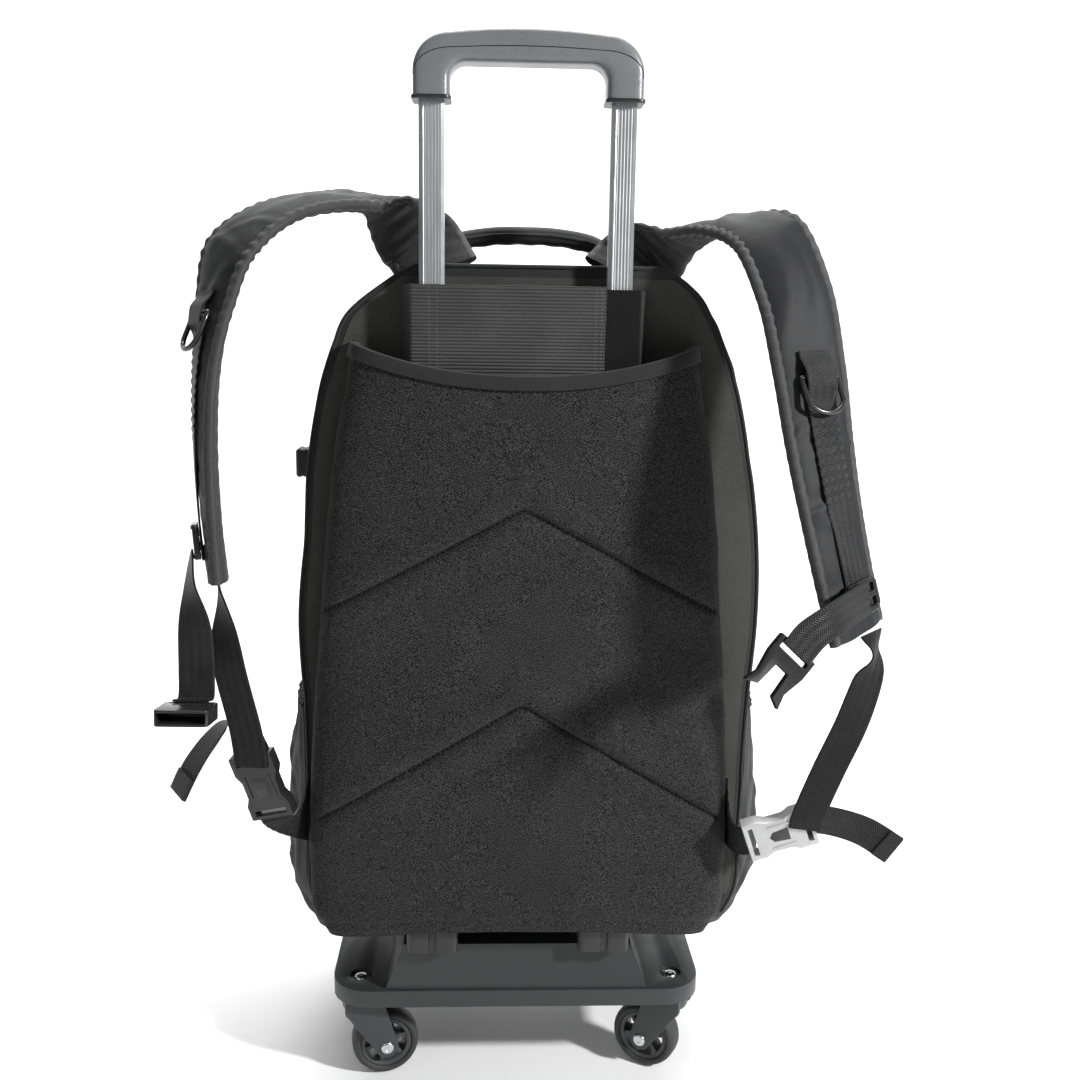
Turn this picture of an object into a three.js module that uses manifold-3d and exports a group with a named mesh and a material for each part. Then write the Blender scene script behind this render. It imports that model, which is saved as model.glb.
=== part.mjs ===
import * as THREE from 'three';
import { mergeVertices } from 'three/addons/utils/BufferGeometryUtils.js';
import Module from 'manifold-3d';

// A wheeled backpack on four casters, with its trolley handle drawn out part of the way.
// Millimetres. +X is to the right and +Y away from someone who looks at the straps, +Z is up.

const wasm = await Module();
wasm.setup();

// Gaps: between pieces that are fixed together, and between pieces that run on each other
const SEAT = 0.3;
const RUNNING = 0.4;

// Casters
const WHEEL_DIAMETER = 54;
const WHEEL_WIDTH = 20;
const WHEEL_SIDE_GAP = 1.5;
const CASTER_TRAIL = 19;
const FORK_WALL = 4;
const FORK_EYE = 9;
const CROWN_GAP = 4;
const CROWN_HEIGHT = 13.4;
const CROWN_DIAMETER = 30;
const AXLE_DIAMETER = 6;
const AXLE_HEAD_DIAMETER = 10;
const AXLE_HEAD_HEIGHT = 1.5;
const BOLT_DIAMETER = 8;
const BOLT_HEAD_DIAMETER = 15;
const BOLT_HEAD_HEIGHT = 3;
const BOLT_RECESS = 3;
const CASTER_SPREAD = 252;
const CASTER_SETBACK = 26;

// Base tray: two flat wings over the casters, with a raised block between them, ribbed underneath
const TRAY_WIDTH = 296;
const TRAY_DEPTH = 212;
const TRAY_CORNER = 30;
const WING_THICKNESS = 14;
const BLOCK_WIDTH = 208;
const BLOCK_TOP_WIDTH = 180;
const BLOCK_RISE = 38;
const BLOCK_SETBACK = 3;
const TRAY_WALL = 4;
const TRAY_RIB = 3;
const TRAY_CELLS = 3;

// Trolley handle
const TUBE_PITCH = 133.6;
const INNER_TUBE_WIDTH = 18;
const INNER_TUBE_DEPTH = 12;
const INNER_TUBE_LENGTH = 537;
const INNER_TUBE_WALL = 1.2;
const OUTER_TUBE_WALL = 1.3;
const TUBE_CHAMFER = 2.5;
const OUTER_TUBE_DROP = 18;
const FOOT_WIDTH = 40;
const FOOT_FRONT = 12;
const FOOT_BACK = 16;
const FOOT_CORNER = 7;
const FOOT_HEIGHT = 20.4;
const FOOT_FLOOR = 4;
const GRIP_LIFT = 111;
const GRIP_HEIGHT = 45;
const GRIP_BAR = 21.5;
const GRIP_DEPTH = 28;
const GRIP_LEG_WIDTH = 26;
const GRIP_CORNER = 25;
const GRIP_INNER_CORNER = 10;
const GRIP_ARCH = 1.5;
const GRIP_SOCKET = 13;
const CAP_HEIGHT = 13;
const CAP_LIP = 29;
const CAP_EDGE = 3;
const BUTTON_WIDTH = 40;
const BUTTON_DEPTH = 12;
const BUTTON_HEIGHT = 9;
const BUTTON_PROUD = 1;
const BUTTON_TRAVEL = 3;

// Bag
const BAG_HEIGHT = 503;
const BAG_LEFT = 168;
const BAG_RIGHT = 181;
const BAG_DEPTH = 188;
const BACK_FACE = 12;
const BACK_CORNER = 6;
const FRONT_CORNER = 45;
const CLOTH = 2;
const REST_WIDTH = 150;
const REST_DEPTH = 20;
const REST_SETBACK = 30;

// Main zip: an open run of teeth over the gusset, under its tape
const ZIP_PLANE = 118;
const ZIP_MOUTH = 6;
const ZIP_TAPE_WIDTH = 28;
const ZIP_TAPE = 1.2;
const ZIP_RISE = 17;
const SLIDER_WIDTH = 10;
const SLIDER_HEIGHT = 5;
const SLIDER_LENGTH = 14;
const PULL_LENGTH = 34;
const PULL_THICKNESS = 2;

// Back panel, a padded pocket over the tubes
const PANEL_HALF_WIDTH = 161;
const PANEL_RISE = 33;
const PANEL_FOAM = 6;
const PANEL_HEIGHT = 423;
const PANEL_CORNER_RISE = 22;
const PANEL_HEM_SAG = 9;
const PANEL_CLEAR = 2;
const BINDING = 1.2;
const BINDING_HEIGHT = 9;
const BAND_TOP_DROP = 14;
const BAND_HEIGHT = 92;
const BAND_THICKNESS = 1.6;
const BAND_GAP = 0.6;
const BAND_ROOT = 88;
const BAND_SEAM = 57;
const TAB_DROP = 2;

// Side pockets, charging port and haul handle
const POCKET_HEIGHT = 173;
const POCKET_DROOP = 38;
const POCKET_BULGE = 19;
const POCKET_UNDERCUT = 44;
const POCKET_CLOTH = 2;
const POCKET_START = 10;
const POCKET_LENGTH = 128;
const PORT_LOW = 340;
const PORT_HEIGHT = 76;
const PORT_WIDTH = 30;
const PORT_THICKNESS = 2.5;
const PORT_BLOCK = 22;
const PORT_BLOCK_RISE = 5;
const PORT_BLOCK_REACH = 14;
const PORT_PLANE = 33;
const HAUL_SPAN = 132;
const HAUL_RISE = 25;
const HAUL_WIDTH = 26;
const HAUL_THICKNESS = 14;
const HAUL_PLANE = 59;

// Shoulder straps and webbing
const STRAP_REACH = 235;
const STRAP_FORWARD = 86;
const STRAP_DROP = 245;
const STRAP_WIDTH = 59;
const STRAP_THICKNESS = 13;
const WEBBING_WIDTH = 25;
const WEBBING = 1.5;
const RING_WIRE = 3.6;
const RING_TILT = 12;
const RING_DEPTH = 15;
const LOCK_WIDTH = 34;
const LOCK_HEIGHT = 24;
const LOCK_THICKNESS = 4;
const LOCK_BAR = 4;
const BUCKLE_WIDTH = 33;
const BUCKLE_LENGTH = 52;
const BUCKLE_THICKNESS = 10;
const STERNUM_WIDTH = 32;
const STERNUM_LENGTH = 30;
const STERNUM_THICKNESS = 11;
const STERNUM_WALL = 2;
const PRONG_LENGTH = 26;
const TAB_CLEAR = 2;
const TAB_LOW = 60;
const TAB_ROOT = 58;

// Heights and places that follow from the sizes above
const AXLE_HEIGHT = WHEEL_DIAMETER / 2;
const CROWN_BOTTOM = WHEEL_DIAMETER + CROWN_GAP;
const CROWN_TOP = CROWN_BOTTOM + CROWN_HEIGHT;
const TRAY_BOTTOM = CROWN_TOP + SEAT;
const WING_TOP = TRAY_BOTTOM + WING_THICKNESS;
const BLOCK_TOP = WING_TOP + BLOCK_RISE;
const FOOT_BOTTOM = BLOCK_TOP + SEAT;
const FOOT_TOP = FOOT_BOTTOM + FOOT_HEIGHT;
const BAG_BOTTOM = FOOT_TOP + SEAT;
const BAG_TOP = BAG_BOTTOM + BAG_HEIGHT;
const LEG_END = BAG_TOP + GRIP_LIFT;
const GRIP_TOP = LEG_END + GRIP_HEIGHT;
const TUBE_X = TUBE_PITCH / 2;
const GRIP_HALF_WIDTH = TUBE_X + GRIP_LEG_WIDTH / 2;
const OUTER_TUBE_WIDTH = INNER_TUBE_WIDTH + 2 * (RUNNING + OUTER_TUBE_WALL);
const OUTER_TUBE_DEPTH = INNER_TUBE_DEPTH + 2 * (RUNNING + OUTER_TUBE_WALL);
const BAND_INNER = -OUTER_TUBE_DEPTH / 2 - BAND_GAP;
const BAND_OUTER = BAND_INNER - BAND_THICKNESS;
const BAND_TOP = BAG_TOP - BAND_TOP_DROP;
const BACK_SEAT = BACK_FACE - SEAT;
const ZIP_LOW = POCKET_HEIGHT + ZIP_RISE;

// Colours and finishes
const paint = (color, roughness, metalness = 0) =>
  new THREE.MeshStandardMaterial({ color, roughness, metalness });
const nylon = paint(0x2b2b2d, 0.55);
const smoothNylon = paint(0x4a4b4e, 0.42);
const meshCloth = paint(0x333335, 0.9);
const binding = paint(0x1d1d1e, 0.7);
const webbing = paint(0x1f1f20, 0.75);
const hardPlastic = paint(0x17181a, 0.35);
const gripPlastic = paint(0x1c1c1e, 0.4);
const greyPlastic = paint(0x6f7072, 0.5);
const tyreRubber = paint(0x141414, 0.8);
const aluminium = paint(0xb9bcc0, 0.3, 1);
const steel = paint(0xa7a7a8, 0.3, 1);

const backpack = new THREE.Group();
const degrees = THREE.MathUtils.degToRad;
const mix = THREE.MathUtils.lerp;
const point = (x, y, z) => new THREE.Vector3(x, y, z);

// A closed mesh with shared corners, no collapsed triangles and its faces outwards
function closed(geometry) {
  const bare = new THREE.BufferGeometry();
  bare.setAttribute('position', geometry.getAttribute('position').clone());
  bare.setIndex(geometry.index ? geometry.index.clone() : null);
  const merged = mergeVertices(bare, 1e-4);
  const place = merged.getAttribute('position');
  const kept = [];
  let volume = 0;
  const [a, b, c] = [point(), point(), point()];
  for (let i = 0; i < merged.index.count; i += 3) {
    const corners = [0, 1, 2].map((k) => merged.index.getX(i + k));
    if (new Set(corners).size < 3) continue;
    kept.push(corners);
    a.fromBufferAttribute(place, corners[0]);
    b.fromBufferAttribute(place, corners[1]);
    c.fromBufferAttribute(place, corners[2]);
    volume += a.dot(b.cross(c));
  }
  merged.setIndex(kept.map((f) => (volume < 0 ? [f[0], f[2], f[1]] : f)).flat());
  return merged;
}

function toSolid(geometry) {
  const mesh = closed(geometry);
  const vertProperties = new Float32Array(mesh.getAttribute('position').array);
  const triVerts = new Uint32Array(mesh.index.array);
  return new wasm.Manifold(new wasm.Mesh({ numProp: 3, vertProperties, triVerts }));
}

function toGeometry(solid) {
  const mesh = solid.getMesh();
  const geometry = new THREE.BufferGeometry();
  geometry.setAttribute('position', new THREE.BufferAttribute(mesh.vertProperties, 3));
  geometry.setIndex(new THREE.BufferAttribute(mesh.triVerts, 1));
  return geometry;
}

const cut = (body, ...tools) =>
  toGeometry(tools.reduce((rest, tool) => rest.subtract(toSolid(tool)), toSolid(body)));
const join = (body, ...more) =>
  toGeometry(more.reduce((whole, piece) => whole.add(toSolid(piece)), toSolid(body)));

function add(name, geometry, material, parent = backpack) {
  const whole = closed(geometry);
  whole.computeVertexNormals();
  const mesh = new THREE.Mesh(whole, material);
  mesh.name = name;
  parent.add(mesh);
  return mesh;
}

function box(x0, x1, y0, y1, z0, z1) {
  const block = new THREE.BoxGeometry(x1 - x0, y1 - y0, z1 - z0);
  return block.translate((x0 + x1) / 2, (y0 + y1) / 2, (z0 + z1) / 2);
}

function drum(diameter, z0, z1, x = 0, y = 0, sides = 16) {
  const cylinder = new THREE.CylinderGeometry(diameter / 2, diameter / 2, z1 - z0, sides);
  return cylinder.rotateX(Math.PI / 2).translate(x, y, (z0 + z1) / 2);
}

// A flat outline in X and Y raised from z0 to z1
function raised(shape, z0, z1) {
  const options = { depth: z1 - z0, bevelEnabled: false, curveSegments: 3 };
  return new THREE.ExtrudeGeometry(shape, options).translate(0, 0, z0);
}

// An upright outline in X and Z carried from y0 to y1
function carried(shape, y0, y1) {
  const options = { depth: y1 - y0, bevelEnabled: false, curveSegments: 4 };
  return new THREE.ExtrudeGeometry(shape, options).rotateX(Math.PI / 2).translate(0, y1, 0);
}

const outline = (corners) => new THREE.Shape(corners.map(([x, y]) => new THREE.Vector2(x, y)));

function chamfered(width, depth, chamfer, x = 0) {
  const [w, d] = [width / 2, depth / 2];
  return outline([
    [x - w + chamfer, -d], [x + w - chamfer, -d], [x + w, -d + chamfer], [x + w, d - chamfer],
    [x + w - chamfer, d], [x - w + chamfer, d], [x - w, d - chamfer], [x - w, -d + chamfer],
  ]);
}

// A solid through rings of the same count of points, with flat ends
function skin(rings, ribbon = false) {
  const count = rings[0].length;
  const last = (rings.length - 1) * count;
  const faces = [];
  for (let i = 0; i < last; i += count) {
    for (let j = 0; j < count; j++) {
      const next = (j + 1) % count;
      const corners = [i + j, i + next, i + next + count, i + j + count];
      const [a, b, c, d] = ribbon && j >= count / 2 ? [...corners.slice(1), corners[0]] : corners;
      faces.push(a, b, c, a, c, d);
    }
  }
  for (let j = 1; j < count - 1; j++) faces.push(0, j + 1, j, last, last + j, last + j + 1);
  const geometry = new THREE.BufferGeometry().setFromPoints(rings.flat());
  geometry.setIndex(faces);
  return geometry;
}

// A sheet of the given thickness on one side of a grid of points
function sheet(grid, thickness) {
  const [rows, columns] = [grid.length, grid[0].length];
  const far = grid.map((row, i) => row.map((place, j) => {
    const up = grid[Math.min(i + 1, rows - 1)][j].clone().sub(grid[Math.max(i - 1, 0)][j]);
    const along = row[Math.min(j + 1, columns - 1)].clone().sub(row[Math.max(j - 1, 0)]);
    return place.clone().addScaledVector(up.cross(along).normalize(), thickness);
  }));
  const near = (i, j) => i * columns + j;
  const back = (i, j) => rows * columns + i * columns + j;
  const faces = [];
  const quad = (a, b, c, d) => faces.push(a, b, c, a, c, d);
  for (let i = 0; i < rows - 1; i++) {
    for (let j = 0; j < columns - 1; j++) {
      quad(near(i, j), near(i + 1, j), near(i + 1, j + 1), near(i, j + 1));
      quad(back(i, j), back(i, j + 1), back(i + 1, j + 1), back(i + 1, j));
    }
    quad(near(i, 0), back(i, 0), back(i + 1, 0), near(i + 1, 0));
    quad(near(i, columns - 1), near(i + 1, columns - 1), back(i + 1, columns - 1), back(i, columns - 1));
  }
  for (let j = 0; j < columns - 1; j++) {
    quad(near(0, j), near(0, j + 1), back(0, j + 1), back(0, j));
    quad(near(rows - 1, j), back(rows - 1, j), back(rows - 1, j + 1), near(rows - 1, j + 1));
  }
  const geometry = new THREE.BufferGeometry().setFromPoints([...grid.flat(), ...far.flat()]);
  geometry.setIndex(faces);
  return geometry;
}

// A smooth curve through evenly spaced rows of numbers
function along(rows, share) {
  const reach = THREE.MathUtils.clamp(share, 0, 1) * (rows.length - 1);
  const i = Math.min(Math.floor(reach), rows.length - 2);
  const f = reach - i;
  return rows[0].map((_, k) => {
    const [b, c] = [rows[i][k], rows[i + 1][k]];
    const a = i > 0 ? rows[i - 1][k] : 2 * b - c;
    const d = i + 2 < rows.length ? rows[i + 2][k] : 2 * c - b;
    const bend = (2 * a - 5 * b + 4 * c - d) * f * f + (3 * b - 3 * c + d - a) * f ** 3;
    return (2 * b + (c - a) * f + bend) / 2;
  });
}

// A straight-line reading of a table whose first column rises
function reading(rows, key) {
  const last = rows.length - 2;
  let i = rows.findIndex((row) => row[0] > key) - 1;
  i = i < -1 ? last : Math.max(0, Math.min(i, last));
  const f = (key - rows[i][0]) / (rows[i + 1][0] - rows[i][0]);
  return rows[i].map((value, k) => mix(value, rows[i + 1][k], f));
}

// Casters: a moulded fork on a bolt, and a wheel on a riveted axle behind it
const CASTERS = [
  ['rear_left', -1, 0, 12],
  ['rear_right', 1, 0, 150],
  ['front_left', -1, 1, 20],
  ['front_right', 1, 1, 165],
];

function casterFork() {
  const inner = WHEEL_WIDTH / 2 + WHEEL_SIDE_GAP;
  const half = CROWN_DIAMETER * 0.4;
  const arm = new THREE.Shape();
  arm.moveTo(-half, CROWN_TOP);
  arm.lineTo(half, CROWN_TOP);
  arm.lineTo(CASTER_TRAIL + FORK_EYE, AXLE_HEIGHT + FORK_EYE / 3);
  arm.absarc(CASTER_TRAIL, AXLE_HEIGHT, FORK_EYE, 0, -Math.PI, true);
  arm.lineTo(-half, CROWN_BOTTOM);
  const axleHole = new THREE.CylinderGeometry(
    AXLE_DIAMETER / 2 + SEAT, AXLE_DIAMETER / 2 + SEAT, 4 * inner, 12,
  ).translate(CASTER_TRAIL, 0, AXLE_HEIGHT);
  const fork = join(
    drum(CROWN_DIAMETER, CROWN_BOTTOM, CROWN_TOP),
    box(-half, half, -inner - FORK_WALL, inner + FORK_WALL, CROWN_BOTTOM, CROWN_TOP),
    carried(arm, inner, inner + FORK_WALL),
    carried(arm, -inner - FORK_WALL, -inner),
  );
  const bore = drum(BOLT_DIAMETER + 2 * RUNNING, CROWN_BOTTOM - 1, CROWN_TOP + 1, 0, 0, 12);
  return cut(fork, bore, axleHole);
}

function turned(profile, segments) {
  return new THREE.LatheGeometry(profile.map(([r, h]) => new THREE.Vector2(r, h)), segments);
}

function casterWheel() {
  const rim = WHEEL_DIAMETER / 2;
  const half = WHEEL_WIDTH / 2;
  const bore = AXLE_DIAMETER / 2 + RUNNING;
  const side = [[bore, half], [rim * 0.34, half * 0.75], [rim * 0.78, half * 0.75], [rim * 0.86, half],
    [rim, half * 0.6]];
  const other = side.map(([r, h]) => [r, -h]).reverse();
  return turned([...side, ...other, side[0]], 20);
}

function casterAxle() {
  const reach = WHEEL_WIDTH / 2 + WHEEL_SIDE_GAP + FORK_WALL + SEAT;
  const [pin, head] = [AXLE_DIAMETER / 2, AXLE_HEAD_DIAMETER / 2];
  const tip = reach + AXLE_HEAD_HEIGHT;
  return turned([[0, tip], [head * 0.7, tip], [head, reach], [pin, reach],
    [pin, -reach], [head, -reach], [head * 0.7, -tip], [0, -tip]], 12);
}

function casterBolt() {
  const seat = WING_TOP - BOLT_RECESS + SEAT;
  const [shank, head] = [BOLT_DIAMETER / 2, BOLT_HEAD_DIAMETER / 2];
  const top = seat + BOLT_HEAD_HEIGHT;
  const bolt = turned([[0, top], [head * 0.6, top], [head, mix(seat, top, 0.4)], [head, seat],
    [shank, seat], [shank, CROWN_BOTTOM + 1], [0, CROWN_BOTTOM + 1]], 12);
  return bolt.rotateX(Math.PI / 2);
}

const casterY = (front) => (front ? TRAY_DEPTH - CASTER_SETBACK : CASTER_SETBACK);

for (const [corner, side, front, heading] of CASTERS) {
  const stem = new THREE.Group();
  stem.position.set(side * CASTER_SPREAD / 2, casterY(front), 0);
  backpack.add(stem);
  add(`caster_bolt_${corner}`, casterBolt(), steel, stem);
  const swivel = new THREE.Group();
  swivel.rotation.z = degrees(heading);
  stem.add(swivel);
  add(`caster_fork_${corner}`, casterFork(), hardPlastic, swivel);
  const axle = add(`caster_axle_${corner}`, casterAxle(), steel, swivel);
  const wheel = add(`caster_wheel_${corner}`, casterWheel(), tyreRubber, swivel);
  axle.position.set(CASTER_TRAIL, 0, AXLE_HEIGHT);
  wheel.position.copy(axle.position);
}

// Base tray
function roundedRectangle(x0, x1, y0, y1, radius) {
  const shape = new THREE.Shape();
  shape.moveTo(x0 + radius, y0);
  shape.lineTo(x1 - radius, y0);
  shape.absarc(x1 - radius, y0 + radius, radius, -Math.PI / 2, 0);
  shape.lineTo(x1, y1 - radius);
  shape.absarc(x1 - radius, y1 - radius, radius, 0, Math.PI / 2);
  shape.lineTo(x0 + radius, y1);
  shape.absarc(x0 + radius, y1 - radius, radius, Math.PI / 2, Math.PI);
  shape.lineTo(x0, y0 + radius);
  shape.absarc(x0 + radius, y0 + radius, radius, Math.PI, Math.PI * 1.5);
  return shape;
}

function baseTray() {
  const wing = TRAY_WIDTH / 2;
  const wings = raised(roundedRectangle(-wing, wing, 0, TRAY_DEPTH, TRAY_CORNER), TRAY_BOTTOM, WING_TOP);
  const [front, rear] = [TRAY_DEPTH - BLOCK_SETBACK, BLOCK_SETBACK];
  const ring = (half, inset, z) => [point(-half, rear + inset, z), point(half, rear + inset, z),
    point(half, front - inset, z), point(-half, front - inset, z)];
  const block = skin([
    ring(BLOCK_WIDTH / 2, 0, TRAY_BOTTOM),
    ring(BLOCK_WIDTH / 2, 0, WING_TOP),
    ring(BLOCK_TOP_WIDTH / 2, BLOCK_SETBACK / 3, BLOCK_TOP),
  ]);
  const cells = [];
  const [left, low] = [-BLOCK_TOP_WIDTH / 2 + TRAY_WALL, rear + BLOCK_SETBACK / 3 + TRAY_WALL];
  const stepX = (-2 * left + TRAY_RIB) / TRAY_CELLS;
  const stepY = (front + rear - 2 * low + TRAY_RIB) / TRAY_CELLS;
  for (let i = 0; i < TRAY_CELLS; i++) {
    for (let j = 0; j < TRAY_CELLS; j++) {
      const [x, y] = [left + i * stepX, low + j * stepY];
      cells.push(box(x, x + stepX - TRAY_RIB, y, y + stepY - TRAY_RIB, TRAY_BOTTOM - 1, BLOCK_TOP - TRAY_WALL));
    }
  }
  const holes = CASTERS.flatMap(([, side, front2]) => {
    const [x, y] = [side * CASTER_SPREAD / 2, casterY(front2)];
    return [
      drum(BOLT_DIAMETER + 2 * SEAT, TRAY_BOTTOM - 1, WING_TOP + 1, x, y, 12),
      drum(BOLT_HEAD_DIAMETER + BOLT_RECESS, WING_TOP - BOLT_RECESS, WING_TOP + 1, x, y, 16),
    ];
  });
  return cut(join(wings, block), ...cells, ...holes);
}
add('base_tray', baseTray(), hardPlastic);

const restFront = TRAY_DEPTH - REST_SETBACK;
add('front_rest', box(-REST_WIDTH / 2, REST_WIDTH / 2, restFront - REST_DEPTH, restFront, FOOT_BOTTOM, FOOT_TOP),
  greyPlastic);

// Trolley handle: square tubes in tubes, feet that carry them, and a grip with a release button
function gripLegs() {
  const [w, seam, lip] = [GRIP_HALF_WIDTH, GRIP_TOP - CAP_HEIGHT - SEAT, GRIP_TOP - CAP_LIP - SEAT];
  const [edge, inner, arch] = [w - CAP_EDGE - SEAT, w - GRIP_LEG_WIDTH, GRIP_TOP - GRIP_BAR];
  const shape = new THREE.Shape();
  shape.moveTo(-w, LEG_END);
  shape.lineTo(-inner, LEG_END);
  shape.lineTo(-inner, arch - GRIP_INNER_CORNER);
  shape.quadraticCurveTo(-inner, arch, -inner + GRIP_INNER_CORNER, arch);
  shape.lineTo(inner - GRIP_INNER_CORNER, arch);
  shape.quadraticCurveTo(inner, arch, inner, arch - GRIP_INNER_CORNER);
  shape.lineTo(inner, LEG_END);
  shape.lineTo(w, LEG_END);
  shape.lineTo(w, lip);
  shape.lineTo(edge, lip);
  shape.quadraticCurveTo(edge, seam, w - GRIP_CORNER, seam);
  shape.lineTo(-w + GRIP_CORNER, seam);
  shape.quadraticCurveTo(-edge, seam, -edge, lip);
  shape.lineTo(-w, lip);
  const sockets = [-TUBE_X, TUBE_X].map((x) => raised(
    chamfered(INNER_TUBE_WIDTH + 2 * SEAT, INNER_TUBE_DEPTH + 2 * SEAT, TUBE_CHAMFER, x),
    LEG_END - 1, LEG_END + GRIP_SOCKET,
  ));
  return cut(carried(shape, -GRIP_DEPTH / 2, GRIP_DEPTH / 2), ...sockets);
}

function gripCap() {
  const [w, seam, lip] = [GRIP_HALF_WIDTH, GRIP_TOP - CAP_HEIGHT, GRIP_TOP - CAP_LIP];
  const [edge, shoulder] = [w - CAP_EDGE, GRIP_TOP - GRIP_ARCH];
  const shape = new THREE.Shape();
  shape.moveTo(-w, lip);
  shape.lineTo(-edge, lip);
  shape.quadraticCurveTo(-edge, seam, -w + GRIP_CORNER, seam);
  shape.lineTo(w - GRIP_CORNER, seam);
  shape.quadraticCurveTo(edge, seam, edge, lip);
  shape.lineTo(w, lip);
  shape.lineTo(w, shoulder - GRIP_CORNER);
  shape.quadraticCurveTo(w, shoulder, w - GRIP_CORNER, shoulder);
  shape.quadraticCurveTo(0, GRIP_TOP + GRIP_ARCH, -w + GRIP_CORNER, shoulder);
  shape.quadraticCurveTo(-w, shoulder, -w, shoulder - GRIP_CORNER);
  const [x, y] = [BUTTON_WIDTH / 2 + RUNNING, BUTTON_DEPTH / 2 + RUNNING];
  const floor = GRIP_TOP + BUTTON_PROUD - BUTTON_HEIGHT - BUTTON_TRAVEL - SEAT;
  return cut(carried(shape, -GRIP_DEPTH / 2, GRIP_DEPTH / 2), box(-x, x, -y, y, floor, GRIP_TOP + 1));
}
add('grip_lower_shell', gripLegs(), gripPlastic);
add('grip_cap', gripCap(), gripPlastic);
const buttonTop = GRIP_TOP + BUTTON_PROUD;
add('release_button', box(-BUTTON_WIDTH / 2, BUTTON_WIDTH / 2, -BUTTON_DEPTH / 2, BUTTON_DEPTH / 2,
  buttonTop - BUTTON_HEIGHT, buttonTop), gripPlastic);

function hollowTube(width, depth, wall, x, z0, z1) {
  const shape = chamfered(width, depth, TUBE_CHAMFER, x);
  shape.holes.push(chamfered(width - 2 * wall, depth - 2 * wall, TUBE_CHAMFER - wall / 2, x));
  return raised(shape, z0, z1);
}

for (const [name, side] of [['left', -1], ['right', 1]]) {
  const x = side * TUBE_X;
  const innerTop = LEG_END + GRIP_SOCKET - SEAT;
  add(`inner_tube_${name}`, hollowTube(INNER_TUBE_WIDTH, INNER_TUBE_DEPTH, INNER_TUBE_WALL, x,
    innerTop - INNER_TUBE_LENGTH, innerTop), aluminium);
  add(`outer_tube_${name}`, hollowTube(OUTER_TUBE_WIDTH, OUTER_TUBE_DEPTH, OUTER_TUBE_WALL, x,
    FOOT_BOTTOM + FOOT_FLOOR + SEAT, BAG_TOP - OUTER_TUBE_DROP), aluminium);
  const foot = raised(roundedRectangle(x - FOOT_WIDTH / 2, x + FOOT_WIDTH / 2, -FOOT_FRONT,
    FOOT_BACK, FOOT_CORNER), FOOT_BOTTOM, FOOT_TOP);
  const socket = raised(chamfered(OUTER_TUBE_WIDTH + 2 * SEAT, OUTER_TUBE_DEPTH + 2 * SEAT,
    TUBE_CHAMFER, x), FOOT_BOTTOM + FOOT_FLOOR, FOOT_TOP + 1);
  add(`tube_foot_${name}`, cut(foot, socket), greyPlastic);
}

// The bag's outline at each height: height, left half, right half and depth, as shares of its sizes
const BAG_SECTIONS = [
  [0, 0.93, 0.91, 0.95],
  [0.03, 0.965, 0.95, 0.98],
  [0.14, 0.975, 0.965, 1],
  [0.36, 0.985, 0.978, 1],
  [0.48, 1, 1, 0.99],
  [0.6, 0.97, 0.988, 0.97],
  [0.72, 0.945, 0.94, 0.945],
  [0.82, 0.89, 0.88, 0.91],
  [0.885, 0.825, 0.82, 0.86],
  [0.93, 0.762, 0.762, 0.8],
  [0.97, 0.62, 0.68, 0.7],
  [0.99, 0.53, 0.6, 0.6],
  [1, 0.47, 0.53, 0.52],
];

// The four round corners of a section: start angle in degrees and number of steps
function bagRing([height, left, right, depth], inset) {
  const [x0, x1] = [-BAG_LEFT * left + inset, BAG_RIGHT * right - inset];
  const [y0, y1] = [BACK_FACE + inset, BACK_FACE + BAG_DEPTH * depth - inset];
  const [back, front] = [BACK_CORNER - inset, FRONT_CORNER - inset];
  const z = mix(BAG_BOTTOM + inset, BAG_TOP - inset, height);
  const corners = [
    [x1 - back, y0 + back, back, -90, 2],
    [x1 - front, y1 - front, front, 0, 5],
    [x0 + front, y1 - front, front, 90, 5],
    [x0 + back, y0 + back, back, 180, 2],
  ];
  return corners.flatMap(([x, y, radius, start, steps]) =>
    Array.from({ length: steps + 1 }, (_, k) => {
      const angle = degrees(start + 90 * k / steps);
      return point(x + radius * Math.cos(angle), y + radius * Math.sin(angle), z);
    }));
}
const bagBody = (inset) => skin(BAG_SECTIONS.map((row) => bagRing(row, inset)));

// How far the bag's side stands from the middle at a height
function bagSide(side, z) {
  const [, left, right] = reading(BAG_SECTIONS, (z - BAG_BOTTOM) / BAG_HEIGHT);
  return side < 0 ? BAG_LEFT * left : BAG_RIGHT * right;
}
const clearOfBag = (geometry) => cut(geometry, bagBody(-SEAT));

const zipY = BACK_FACE + ZIP_PLANE;
const zipSlab = (width, low) =>
  box(-2 * BAG_LEFT, 2 * BAG_RIGHT, zipY - width / 2, zipY + width / 2, BAG_BOTTOM + low, BAG_TOP + BAG_DEPTH);
add('bag_shell', cut(bagBody(0), bagBody(CLOTH), zipSlab(ZIP_MOUTH, ZIP_LOW)), nylon);

const tapeRim = toSolid(bagBody(-SEAT - ZIP_TAPE)).subtract(toSolid(bagBody(-SEAT)));
add('zip_tape', toGeometry(tapeRim.intersect(toSolid(zipSlab(ZIP_TAPE_WIDTH, ZIP_LOW - ZIP_TAPE_WIDTH / 2)))),
  binding);

function zipSlider() {
  const z = BAG_BOTTOM + ZIP_LOW + SLIDER_LENGTH;
  const x = Math.max(bagSide(1, z), bagSide(1, z + SLIDER_LENGTH)) + ZIP_TAPE + 2 * SEAT;
  const half = SLIDER_WIDTH / 2;
  const body = box(x, x + SLIDER_HEIGHT, zipY - half, zipY + half, z, z + SLIDER_LENGTH);
  const pull = box(x + SLIDER_HEIGHT - PULL_THICKNESS, x + SLIDER_HEIGHT, zipY - half * 0.8,
    zipY + half * 0.8, z + SLIDER_LENGTH / 2 - PULL_LENGTH, z + SLIDER_LENGTH / 2);
  return join(body, pull);
}
add('zip_slider', zipSlider(), steel);

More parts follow.
